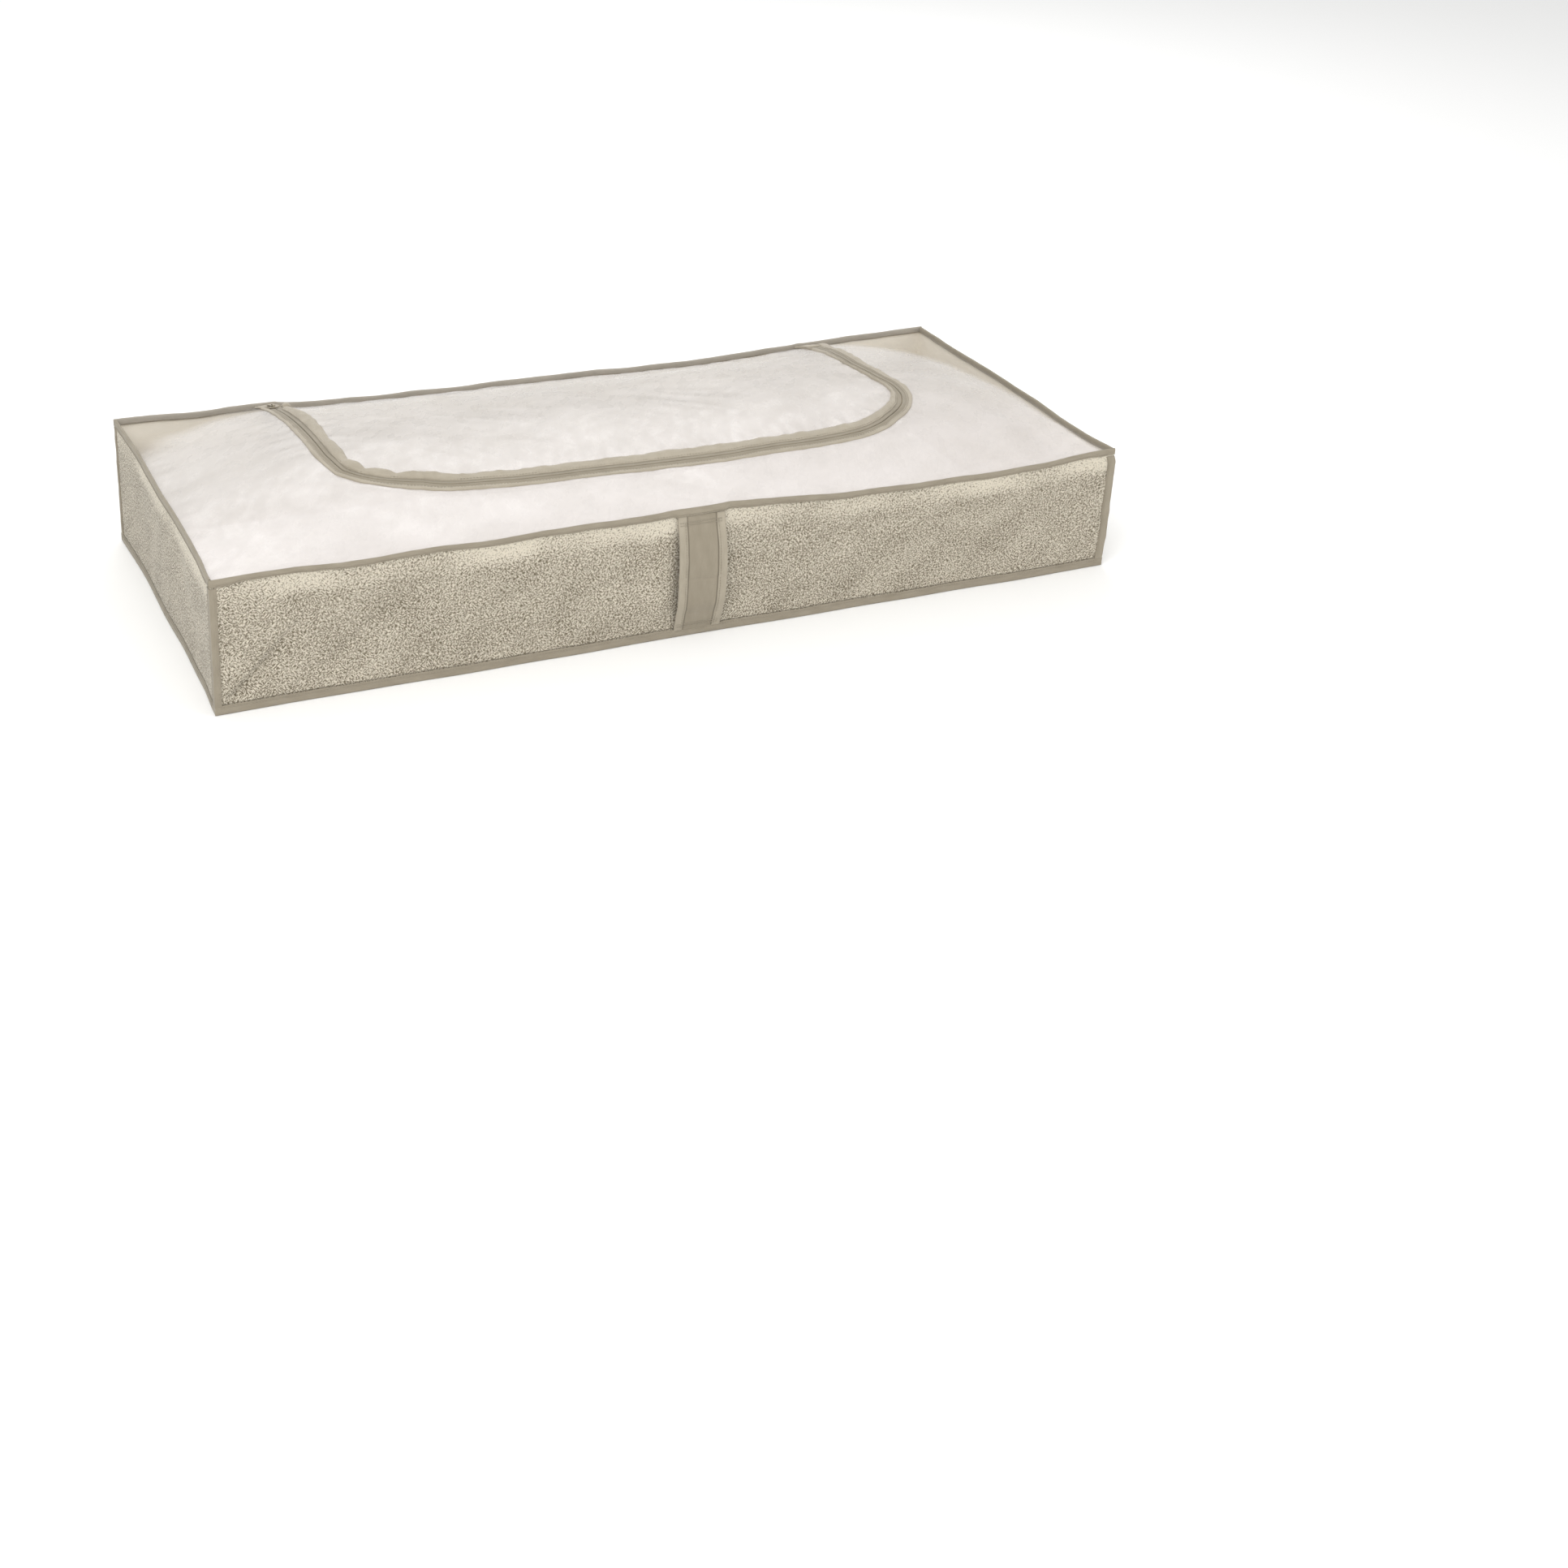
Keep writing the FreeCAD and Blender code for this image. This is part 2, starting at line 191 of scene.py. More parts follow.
# Rise of the front rim over a straight line and of the back rim over its sag, at places along them.
FRONT_RIM = ((-534, 0), (-450, 0), (-400, -4), (-340, -1), (-100, 0), (-35, 3), (35, 3), (85, -2), (200, -6),
             (300, -9), (370, -7), (440, -4), (525, 0), (534, 0))
BACK_RIM = ((-534, 0), (-330, 0), (-230, 2), (-30, 5), (60, 3), (170, 0), (300, -1), (358, -4), (420, -2), (534, 0))


def settle(points):
    """The slack of the sewn fabric, shared by all pieces: the zip drifts and its tapes fold narrower, the back rim
    sags between the zip's ends, the front corners lean out, and rim and base edges run a little uneven."""
    p = np.array(points, float)
    x, y, z = (p[..., axis].copy() for axis in range(3))
    high, on_lid = smooth(40, 130, z), smooth(130, 142, z)
    near_x, near_y = smooth(70, 0, HALF_X - abs(x)), smooth(70, 0, HALF_Y - abs(y))
    s, distance = zip_length_at(x, y), zip_distance(x, y)
    _, _, nx, ny = zip_point(s)
    inland = smooth(0, 45, LID_X - abs(x)) * smooth(0, 45, LID_Y - abs(y))
    drift = table(s, DRIFT) * bell(distance, 55) * inland * on_lid
    reach = abs(distance)
    narrow = (0.34 + 0.24 * bell(s - 1120, 80)) * np.clip(reach - 6.5, 0, 20.5) * (1 - smooth(28, 80, reach))
    shift = drift - np.sign(distance) * narrow * smooth(8, 40, LID_Y - y) * on_lid
    p[..., 0] += shift * nx
    p[..., 1] += shift * ny
    sag = -12 * np.clip(1 - (x / (LEG_X - 12)) ** 2, 0, 1) ** 0.6
    p[..., 2] += (sag + table(x, BACK_RIM)) * smooth(80, LID_Y, y) * high
    p[..., 2] += table(x, FRONT_RIM) * smooth(95, 5, y + HALF_Y) * high
    away = 1 - bell(abs(x) - LEG_X, 60) * smooth(0, 120, y)
    p[..., 2] += 2.0 * wavy(75, 1, x, y) * high * np.maximum(near_x, near_y) * away
    p[..., 1] += 1.6 * wavy(110, 2, x, y) * near_y * away
    p[..., 0] += 1.6 * wavy(110, 3, x, y) * near_x
    right = (3.0 + 2.4 * smooth(6, 40, z) - 3.2 * smooth(132, 146, z)) * smooth(60, 4, HALF_X - x)
    left = 3.5 * smooth(90, 4, HALF_X + x)
    p[..., 0] += (right - left) * smooth(70, 5, y + HALF_Y)
    return p


# Mesh helpers.

def link(name, data):
    obj = bpy.data.objects.new(name, data)
    bpy.context.scene.collection.objects.link(obj)
    return obj


def set_cloth(mesh, cloth):
    attribute = mesh.attributes.new("cloth", "FLOAT_VECTOR", "POINT")
    attribute.data.foreach_set("vector", np.asarray(cloth, np.float32).ravel())


def add_object(name, points, faces, cloth, materials, face_materials=None, sharp=40):
    """A mesh object. cloth is each point's place on its own flat fabric, which materials read."""
    mesh = bpy.data.meshes.new(name)
    mesh.from_pydata((np.reshape(points, (-1, 3)) * MM).tolist(), [], faces)
    cloth = np.reshape(cloth, (-1, 2))
    set_cloth(mesh, np.column_stack([cloth, np.zeros(len(cloth))]))
    for material in materials:
        mesh.materials.append(material)
    if face_materials is not None:
        mesh.polygons.foreach_set("material_index", np.asarray(face_materials, np.int32))
    mesh.shade_smooth()
    mesh.set_sharp_from_angle(angle=math.radians(sharp))
    mesh.update()
    return link(name, mesh)


def grid_faces(rows, columns, ring=False):
    """Quads of a rows by columns grid of points. A ring's last column joins its first."""
    pairs = [(c, (c + 1) % columns) for c in range(columns if ring else columns - 1)]
    return [[r + a, r + columns + a, r + columns + b, r + b]
            for r in range(0, (rows - 1) * columns, columns) for a, b in pairs]


def add_sheet(name, top, bottom, cloth, outside, inside=None):
    """A closed sheet from two grids of points. The bottom takes the inside material."""
    rows, columns = top.shape[:2]
    count = rows * columns
    faces = grid_faces(rows, columns)
    under = [[v + count for v in reversed(face)] for face in faces]
    edges = dict.fromkeys(edge for face in faces for edge in zip(face, face[1:] + face[:1]))
    rims = [[b, a, a + count, b + count] for a, b in edges if (b, a) not in edges]
    indices = [0] * len(faces) + [1] * len(under) + [0] * len(rims)
    return add_object(name, np.concatenate([top, bottom]), faces + under + rims, np.concatenate([cloth, cloth]),
                      [outside, inside or outside], indices)


def add_sweep(name, sections, cloth, material, sharp=50):
    """A closed solid from sections, an (n, m, 3) array of rings with flat end caps."""
    rows, columns = sections.shape[:2]
    faces = grid_faces(rows, columns, True)
    faces.append(list(range(columns)))
    faces.append([(rows - 1) * columns + c for c in reversed(range(columns))])
    return fix_normals(add_object(name, sections, faces, cloth, [material], None, sharp))


def add_tape(name, points, along, section, material):
    """A tape swept along its length. section is the outline that it follows all the way."""
    return add_sweep(name, points, stack(along[:, None], length_along(section)), material)


def fix_normals(obj):
    edit = bmesh.new()
    edit.from_mesh(obj.data)
    bmesh.ops.recalc_face_normals(edit, faces=edit.faces)
    edit.to_mesh(obj.data)
    edit.free()
    return obj


def dress(obj, body, slot, *replaced):
    """Says what carries a piece and which CAD nodes it stands for. slot, what it is made of, is not used."""
    if body:
        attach(obj, body)
    if replaced:
        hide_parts(*replaced)
    return obj


# Materials. Sizes in them are millimetres of the cloth attribute, except a bump's distance.

def linear(red, green, blue):
    """Linear colour of an 8-bit display colour."""
    def channel(value):
        value /= 255
        return value / 12.92 if value <= 0.04045 else ((value + 0.055) / 1.055) ** 2.4
    return channel(red), channel(green), channel(blue), 1.0


class Value:
    """A node's output, so that a material's sums read as sums."""

    def __init__(self, nodes, socket):
        self.nodes, self.socket = nodes, socket

    def __add__(self, other):
        return self.nodes.math("ADD", self, other)

    def __mul__(self, other):
        return self.nodes.math("MULTIPLY", self, other)

    def __sub__(self, other):
        return self.nodes.math("SUBTRACT", self, other)

    def __rsub__(self, other):
        return self.nodes.math("SUBTRACT", other, self)

    def __abs__(self):
        return self.nodes.math("ABSOLUTE", self)


class Nodes:
    """A material's node tree, with short calls for the nodes that the cloths share."""

    def __init__(self, name):
        self.material = bpy.data.materials.new(name)
        self.material.use_nodes = True
        self.tree = self.material.node_tree
        self.shader = self.tree.nodes["Principled BSDF"]
        self.cloth = self.add("ShaderNodeAttribute", attribute_name="cloth", output="Vector")

    def add(self, kind, inputs=None, output=0, **settings):
        node = self.tree.nodes.new(kind)
        for key, value in settings.items():
            setattr(node, key, value)
        for key, value in (inputs or {}).items():
            self.feed(node.inputs[key], value)
        return Value(self, node.outputs[output])

    def feed(self, socket, value):
        if isinstance(value, Value):
            self.tree.links.new(value.socket, socket)
        else:
            socket.default_value = value

    def math(self, operation, a, b=0.0, c=0.5):
        return self.add("ShaderNodeMath", {0: a, 1: b, 2: c}, operation=operation)

    def axis(self, index):
        return self.add("ShaderNodeSeparateXYZ", {0: self.cloth}, index)

    def place(self, along, across, turn):
        """The cloth coordinates turned, then divided by a size along and across."""
        inputs = {"Vector": self.cloth, "Rotation": (0, 0, math.radians(turn)), "Scale": (along, across, 1.0)}
        return self.add("ShaderNodeMapping", inputs, vector_type="TEXTURE")

    def noise(self, along, across, turn=0, detail=1.0, roughness=0.5):
        inputs = {"Vector": self.place(along, across, turn), "Scale": 1.0, "Detail": detail, "Roughness": roughness}
        return self.add("ShaderNodeTexNoise", inputs, "Fac", noise_dimensions="2D")

    def ramp(self, value, low, high, start=0.0, end=1.0):
        inputs = {"Value": value, "From Min": low, "From Max": high, "To Min": start, "To Max": end}
        return self.add("ShaderNodeMapRange", inputs, interpolation_type="SMOOTHSTEP")

    def mix(self, share, a, b):
        """From a to b, each an output or an 8-bit display colour."""
        node = self.tree.nodes.new("ShaderNodeMix")
        node.data_type = "RGBA"
        for index, value in ((0, share), (6, a), (7, b)):
            self.feed(node.inputs[index], linear(*value) if isinstance(value, tuple) else value)
        return Value(self, node.outputs[2])

    def ridges(self, size, turn=0):
        """Parallel threads of one size, from 0 to 1."""
        inputs = {"Vector": self.place(size, size, turn), "Scale": 0.314}
        settings = {"wave_type": "BANDS", "bands_direction": "X", "wave_profile": "SIN"}
        return self.add("ShaderNodeTexWave", inputs, "Fac", **settings)

    def bump(self, height, distance, strength=0.5):
        bumps = self.add("ShaderNodeBump", {"Height": height, "Distance": distance, "Strength": strength})
        self.feed(self.shader.inputs["Normal"], bumps)

    def finish(self, colour, roughness, sheen=0.0, specular=0.3):
        inputs = {"Base Color": colour, "Roughness": roughness, "Sheen Weight": sheen, "Sheen Roughness": 0.5,
                  "Specular IOR Level": specular}
        for key, value in inputs.items():
            self.feed(self.shader.inputs[key], value)
        return self.material


SHADED = (88, 80, 66)             # painted shade: a dark line beside a seam, where a tape's raised edge shades the cloth beside it


def tweed_material():
    """Printed tweed: short light and dark flecks on both diagonals, in patches, over soft mottling, lighter in patches
    near the top, with a line of painted shade along the base tape's top edge.
    """
    n = Nodes("tweed")
    rising, falling = n.noise(2.9, 1.2, 45, 2.0), n.noise(2.9, 1.2, -45, 2.0)
    patch = n.ramp(n.noise(9, 9), 0.42, 0.58)
    fleck = rising * patch + falling * (1.0 - patch)
    fleck = fleck * 0.78 + n.noise(1.0, 1.0, 0, 0.0) * 0.22
    height = n.axis(1)
    # lighter in patches near the top of the wall
    lighter_top = n.ramp(height, 116, 136) * n.ramp(n.noise(150, 400), 0.35, 0.65, 0.03, 0.13)
    shade = fleck + (n.noise(60, 34, 38, 2.0, 0.55) - 0.5) * 0.09 + lighter_top
    share = n.ramp(shade, 0.37, 0.64)
    colour = n.mix(share, (102, 93, 77), (205, 197, 180))
    # painted shade: a dark line along the base tape's top edge, where the tape's raised edge shades the tweed
    beside_tape = abs(height - 10.7)
    colour = n.mix(n.ramp(beside_tape, 0.4, 1.4, 0.55, 0.0), colour, SHADED)
    n.bump(share, 0.35 * MM)
    return n.finish(colour, 0.92, sheen=0.15, specular=0.15)


def lining_material(name, dark, light, painted_top_light=0.0):
    """Plain nonwoven: matted fibres with small embossed points, paler near the top of a wall: painted light where the
    lining's top sits in shade.
    """
    n = Nodes(name)
    fibres = n.noise(4, 0.7, 20, 3.0, 0.6) + n.noise(4, 0.7, -55, 3.0, 0.6)
    points = n.ridges(2.2, 45) * n.ridges(2.2, -45)
    n.bump(fibres * 0.5 - points * 0.35, 0.3 * MM)
    share = fibres * 0.35 + n.noise(50, 50, 0, 2.0) * 0.3
    # painted light: the top of a wall's lining blends towards a pale cream
    colour = n.mix(n.ramp(n.axis(1), 100, 122, 0.0, painted_top_light), n.mix(share, dark, light), (240, 233, 218))
    return n.finish(colour, 0.9, sheen=0.1, specular=0.2)


def tape_material(name, dark, light, thread=0.55, seam=None):
    """Plain-weave tape with fine crossing threads, a little unevenness along it, and perhaps a line of painted shade
    either side of its middle, where a raised edge tape shades it."""
    n = Nodes(name)
    weave = n.ridges(thread) * n.ridges(thread, 90)
    yarn = n.noise(9, 0.6)
    share = weave * 0.25 + n.noise(26, 9, 0, 3.0, 0.55) * 0.6 + yarn * 0.25
    n.bump(weave + yarn * 0.5, 0.2 * MM, 0.6)
    colour = n.mix(share, dark, light)
    if seam:
        # painted shade: a dark line either side of the middle, at distance seam
        colour = n.mix(n.ramp(abs(abs(n.axis(1)) - seam), 0.4, 1.2, 0.55, 0.0), colour, SHADED)
    return n.finish(colour, 0.85, sheen=0.2, specular=0.25)


def film_material():
    """Soft film with a milky haze that clears towards the ends and the back rim, and uneven gloss."""
    n = Nodes("lid_film")
    x, y = n.axis(0), n.axis(1)
    left = (x + LID_X) * 0.75 + ((0.5 * LID_Y - 22) - y * 0.5)
    right = (LID_X - x) * n.ramp(y, -220, 80, 3.2, 1.1)
    behind = (LID_Y - y) * n.ramp(x, 360, 440, 3.2, 1.4)
    blend = 500                         # distance over which the three edges blend
    edge = n.math("SMOOTH_MIN", n.math("SMOOTH_MIN", left, right, blend), behind, blend)
    ragged = (n.noise(90, 90) - 0.5) * 34
    haze = n.ramp(edge + ragged, 9, 54, 0.07, 0.43)
    cloud = n.noise(70, 45, 25, 3.0, 0.55)
    n.feed(n.shader.inputs["Alpha"], haze * n.ramp(cloud, 0.2, 0.8, 0.9, 1.1))
    gloss = n.ramp(n.noise(30, 14, 60, 3.0), 0.3, 0.7, 0.22, 0.40)
    n.bump(n.noise(22, 7, 35, 3.0) + n.noise(16, 6, -50, 3.0), 0.6 * MM, 0.3)
    n.feed(n.shader.inputs["IOR"], 1.5)
    # painted light and shade: the film is lighter towards the front and darker towards the back
    shade = n.mix(n.ramp(y, -210, 50), (243, 238, 236), (228, 224, 221))
    return n.finish(shade, gloss, specular=0.45)


def coil_material():
    n = Nodes("zip_coil")
    return n.finish(n.mix(n.noise(3, 3, 0, 2.0), (150, 141, 122), (178, 169, 151)), 0.4, specular=0.5)


def slider_material():
    """Lacquered metal, rubbed a little along its length."""
    n = Nodes("zip_slider")
    rub = n.noise(0.5, 4, 0, 3.0)
    n.feed(n.shader.inputs["Metallic"], 0.15)
    n.bump(rub, 0.05 * MM)
    return n.finish(n.mix(rub, (132, 123, 106), (170, 161, 144)), n.ramp(rub, 0.3, 0.7, 0.3, 0.45))


TWEED = tweed_material()
LINING = lining_material("wall_lining", (186, 177, 159), (228, 219, 202), 0.75)
BASE = lining_material("base_lining", (222, 216, 205), (247, 243, 236))
BINDING = tape_material("binding_tape", (130, 121, 104), (163, 154, 137))
# painted light: a paler, greyer copy of the binding tape for the back rim, which renders in shade
BACK_TAPE_PAINTED_LIGHT = tape_material("back_binding_tape_painted_light", (150, 143, 131), (180, 173, 162))
PALE_TAPE = tape_material("zip_binding", (152, 143, 126), (187, 178, 161))
# partly the zip tape's own colour and partly painted shade: darker than the bindings, for the shade of the recessed
# channel between them
ZIP_TAPE = tape_material("zip_tape", (128, 119, 102), (160, 151, 134), 0.8)
# the last number places lines of painted shade beside the edge tapes
WEBBING = tape_material("handle_webbing", (132, 123, 106), (157, 148, 131), 0.7, STRAP_HALF - 10.3)
EDGE_TAPE = tape_material("strap_edge_tape", (148, 139, 122), (178, 169, 152))
THREAD = tape_material("thread", (132, 123, 106), (172, 163, 146), 0.4)
FILM = film_material()
COIL = coil_material()
METAL = slider_material()


# Stitches.

STITCH_RUN = ((-0.5, -0.3), (-0.32, 0.75), (0.32, 0.75), (0.5, -0.3))   # along in lengths, and lift in widths
STITCH_RING = ((-1.0, 0.0), (-0.7, 0.8), (0.7, 0.8), (1.0, 0.0))        # across and up, in widths
STITCH_FACES = [[r * 4 + c, r * 4 + (c + 1) % 4, (r + 1) * 4 + (c + 1) % 4, (r + 1) * 4 + c]
                for r in range(3) for c in range(4)] + [[3, 2, 1, 0], [12, 13, 14, 15]]


def add_stitches(name, line, normal, body="root", slot="binding_tape", pitch=3.4, length=2.3, width=0.42):
    """A row of thread stitches along a line of points, standing a little proud along each point's normal."""
    along = length_along(line)
    starts = (np.arange(int(along[-1] / pitch)) + 0.5) * pitch

    def at(s, values):
        return np.column_stack([np.interp(s, along, values[:, i]) for i in range(3)])

    up = unit(at(starts, np.broadcast_to(np.asarray(normal, float), line.shape)))
    ahead = unit(at(starts + 0.5, line) - at(starts - 0.5, line))
    centre, side = at(starts, line), np.cross(ahead, up)
    centre, up, ahead, side = (values[:, None, None, :] for values in (centre, up, ahead, side))
    reach, lift = np.transpose(STITCH_RUN)[:, :, None, None]
    across, rise = np.transpose(STITCH_RING)[:, None, :, None]
    points = centre + ahead * length * reach + side * across * width + up * width * (rise * 0.9 + lift) * 0.8
    points = points.reshape(-1, 3)
    faces = [[base + v for v in face] for base in range(0, len(points), 16) for face in STITCH_FACES]
    return dress(fix_normals(add_object(name, points, faces, points[:, :2], [THREAD], None, 60)), body, slot)


# The walls: one closed sheet a side, tweed outside and plain lining inside.

CREASES = {                             # along and up to both ends, width, depth
    FRONT: (((-540, -12), (-440, 98), 8.0, -5.2), ((-536, -6), (-484, 52), 4.5, -2.4),
            ((-438, 20), (-330, 112), 13.0, -2.2), ((-225, 30), (-130, 120), 16.0, 1.5),
            ((105, 120), (215, 30), 17.0, 1.7), ((240, 30), (365, 118), 14.0, -1.4),
            ((395, 112), (492, 30), 11.0, -1.8)),
    LEFT: (((-120, 20), (-30, 110), 22.0, -1.6), ((70, 120), (150, 30), 22.0, -1.8)),
}


def crease(u, v, start, end, width, depth):
    """A soft fold between two points: steep on one side, with ends that fade."""
    along = np.subtract(end, start)
    length = math.hypot(*along)
    along = along / length
    t = ((u - start[0]) * along[0] + (v - start[1]) * along[1]) / length
    d = ((v - start[1]) * along[0] - (u - start[0]) * along[1]) / width
    return depth * smooth(-0.12, 0.3, t) * (1 - smooth(0.7, 1.12, t)) * np.where(d > 0, bell(d, 0.45), bell(d, 1.5))


def wall_bulge(u, v, half, side):
    """How far a wall stands out of flat at a place along and up it."""
    up, down = v - BASE_TAPE, RIM_TAPE - v
    middle = smooth(0, 45, up) * smooth(0, 40, down) * smooth(0, 55, half - abs(u))
    swell = 1.7 * wavy(170, 5 + side, u, v * 1.6) + 0.7 * wavy(70, 9 + side, (u + v) * 0.55, (v - u) * 1.3)
    edge = smooth(0, 9, up) * smooth(0, 9, down)
    pucker = wavy(15, 21 + side, u, v * 0.16) * edge * (smooth(45, 0, down) * 0.8 + smooth(28, 0, up) * 0.6)
    bulge = swell * middle * (0.55 if side == LEFT else 1.0) + 0.55 * pucker
    for values in CREASES.get(side, ()):
        bulge = bulge + crease(u, v, *values) * edge
    if side == FRONT:
        behind = smooth(75, 26, abs(u))
        beside = 5.2 * bell(u + 43, 20) * smooth(12, 50, v) * smooth(140, 105, v)
        bulge = bulge * (1 - behind) + 0.5 * behind * middle + beside
    return bulge


def wall_place(side, u, inward, z):
    """A point by its place along a wall, seen from outside, its distance in from the tapes' faces, and its height."""
    if side == FRONT:
        return stack(u, inward - HALF_Y, z)
    if side == BACK:
        return stack(-u, HALF_Y - inward, z)
    if side == RIGHT:
        return stack(HALF_X - inward, u, z)
    return stack(inward - HALF_X, -u, z)


def build_wall(name, side, replaced):
    half = (HALF_X if side in (FRONT, BACK) else HALF_Y) - FACE - 0.15
    columns, rows = (int(2 * half / 2.8), 56) if side == FRONT else (int(2 * half / 3.4), 46)
    u, v = grid(np.linspace(-half, half, columns), np.linspace(1.5, TOP - 2.2, rows))
    bulge = wall_bulge(u, v, half, side)
    outer, inner = wall_place(side, u, FACE - bulge, v), wall_place(side, u, FACE + WALL - bulge, v)
    obj = add_sheet(name, settle(outer), settle(inner), stack(u + 1300 * side, v), TWEED, LINING)
    dress(obj, "root", "wall_fabric", replaced)
    (2 * half + SEAM_ALLOWANCE) * MM


for wall_side, label in enumerate(("front", "right", "left", "back")):
    build_wall(f"{label}_wall_fabric", wall_side, f"{label}_wall")


# The base.

def build_base():
    half_x, half_y = HALF_X - FACE - 0.2, HALF_Y - FACE - 0.2
    x, y = grid(np.linspace(-half_x, half_x, 241), np.linspace(-half_y, half_y, 105))
    edge = smooth(0, 40, half_x - abs(x)) * smooth(0, 40, half_y - abs(y))
    fold = 1.1 * bell(x + half_x / 3, 5) + 1.1 * bell(x - half_x / 3, 5)
    lift = 0.25 + edge * (0.9 * (1 + wavy(120, 31, x, y)) + fold)
    obj = add_sheet("base_fabric", settle(stack(x, y, lift + WALL)), settle(stack(x, y, lift)), stack(x, y), BASE)
    dress(obj, "root", "base_fabric", "base_panel")


build_base()


# Edge tapes. Each is a closed section run along an edge.

RIM_SECTION = (                         # in from the outer face, down from the top, and how full it gets
    (0.55, 8.4, 0), (0.25, 8.2, 1), (0.12, 7.6, 1), (0.2, 6.8, 1), (0.0, 5.8, 1), (0.0, 4.3, 1), (0.05, 2.9, 1),
    (0.35, 1.5, 1), (0.95, 0.55, 1), (1.7, 0.15, 1), (2.5, 0.1, 1), (3.3, 0.45, 1), (3.85, 1.25, 1), (4.15, 2.5, 1),
    (4.3, 4.2, 1), (4.3, 6.2, 1), (4.15, 7.4, 1), (3.9, 7.9, 1), (3.55, 7.9, 0), (3.35, 7.2, 0), (3.3, 4.0, 0),
    (2.9, 2.3, 0), (2.2, 1.7, 0), (1.6, 2.1, 0), (1.25, 3.4, 0), (1.15, 5.6, 0), (1.1, 8.1, 0), (0.9, 8.4, 0),
)
BASE_SECTION = (                        # in from the outer face, height
    (1.15, 0.05), (1.0, 0.0), (0.55, 0.0), (0.15, 0.5), (0.0, 1.6), (0.0, 4.0), (0.0, 6.6), (0.1, 8.6), (0.35, 9.6),
    (0.75, 9.95), (1.1, 9.7), (1.15, 6.0), (1.15, 3.0),
)
LEG_SHOWN = ((-514, 1), (-500, 0.74), (-230, 0.74), (-120, 0.9), (-30, 1), (30, 1), (90, 0.95), (200, 0.84),
             (500, 0.84), (514, 1))     # share of the front rim's outer leg that shows, along it


def over_strap(u):
    """1 where an edge tape passes over the strap's end."""
    return smooth(33, 28, abs(u))


def rim_height(side, u):
    """Share of its full height that a rim tape's outer leg has."""
    return table(u, LEG_SHOWN) if side == FRONT else np.ones_like(u)


def build_rim(name, side, half, replaced):
    u = np.linspace(-half, half, int(2 * half / 2.6))
    inward, drop, full = np.transpose(RIM_SECTION)
    bumps = 0.5 + 0.32 * wavy(17, 40 + side, u) + 0.2 * wavy(6.5, 41 + side, u)
    puff = (bumps[:, None] - 0.9) * 0.45 * full
    off_in, off_drop = inward - 2.2, drop - 4.5         # from the section's middle
    inner = inward + puff * off_in / np.hypot(off_in, off_drop)
    lower = drop + puff * off_drop / np.hypot(off_in, off_drop)
    lower = lower * (1 - (1 - rim_height(side, u))[:, None] * smooth(1.6, 1.0, inward))
    lower = lower - 0.5 * wavy(23, 47 + side, u)[:, None] * smooth(5.5, 8, drop)
    if side == FRONT:
        inner = inner - 2.1 * over_strap(u)[:, None] * smooth(2.4, 0.6, inward) * smooth(1, 5, drop)
    points = settle(wall_place(side, u[:, None], inner, TOP - lower))
    tape = add_tape(name, points, u + side * 1700, np.array(RIM_SECTION)[:, :2], BACK_TAPE_PAINTED_LIGHT if side == BACK else BINDING)
    dress(tape, "root", "binding_tape", replaced)
    s = np.linspace(-half + 6, half - 6, int(2 * half / 4))
    for row, inset, down, out in (("face", -0.08, 6.9, -1), ("lining", 4.42, 6.6, 1)):
        if row == "face":
            inset, down = inset - 2.1 * over_strap(s) * (side == FRONT), down * rim_height(side, s)
        line, ahead = (wall_place(side, s, inset + step, TOP - down) for step in (0, out))
        add_stitches(f"{name}_{row}_stitches", settle(line), ahead - line)


def build_base_tape(name, side, half, replaced):
    u = np.linspace(-half, half, int(2 * half / 3))
    inward, height = np.transpose(BASE_SECTION)
    waver = 0.45 * wavy(30, 60 + side, u)[:, None] * smooth(6, 9, height)
    puff = 0.35 * wavy(13, 63 + side, u)[:, None] * bell(height - 5, 3.4)
    puff = puff + 1.5 * over_strap(u)[:, None] * (side == FRONT) * smooth(0.5, 5, height)
    points = settle(wall_place(side, u[:, None], inward - puff * (inward < 0.9), height + waver))
    dress(add_tape(name, points, u + side * 1900, BASE_SECTION, BINDING), "root", "binding_tape", replaced)
    s = np.linspace(-half + 5, half - 5, int(2 * half / 4))
    proud = 1.5 * over_strap(s) * (side == FRONT)
    line, ahead = (wall_place(side, s, inset - proud, 8.1) for inset in (-0.05, -1))
    add_stitches(f"{name}_stitches", settle(line), ahead - line)


SIDES = (("front", FRONT), ("right", RIGHT), ("left", LEFT), ("back", BACK))
for label, wall_side in SIDES:
    build_rim(f"{label}_rim_tape", wall_side, HALF_X if wall_side in (FRONT, BACK) else LID_Y, f"rim_binding_{label}")
for label, wall_side in SIDES:
    tape_half = HALF_X if wall_side in (FRONT, BACK) else HALF_Y - FACE
    build_base_tape(f"{label}_base_tape", wall_side, tape_half, f"base_binding_{label}")


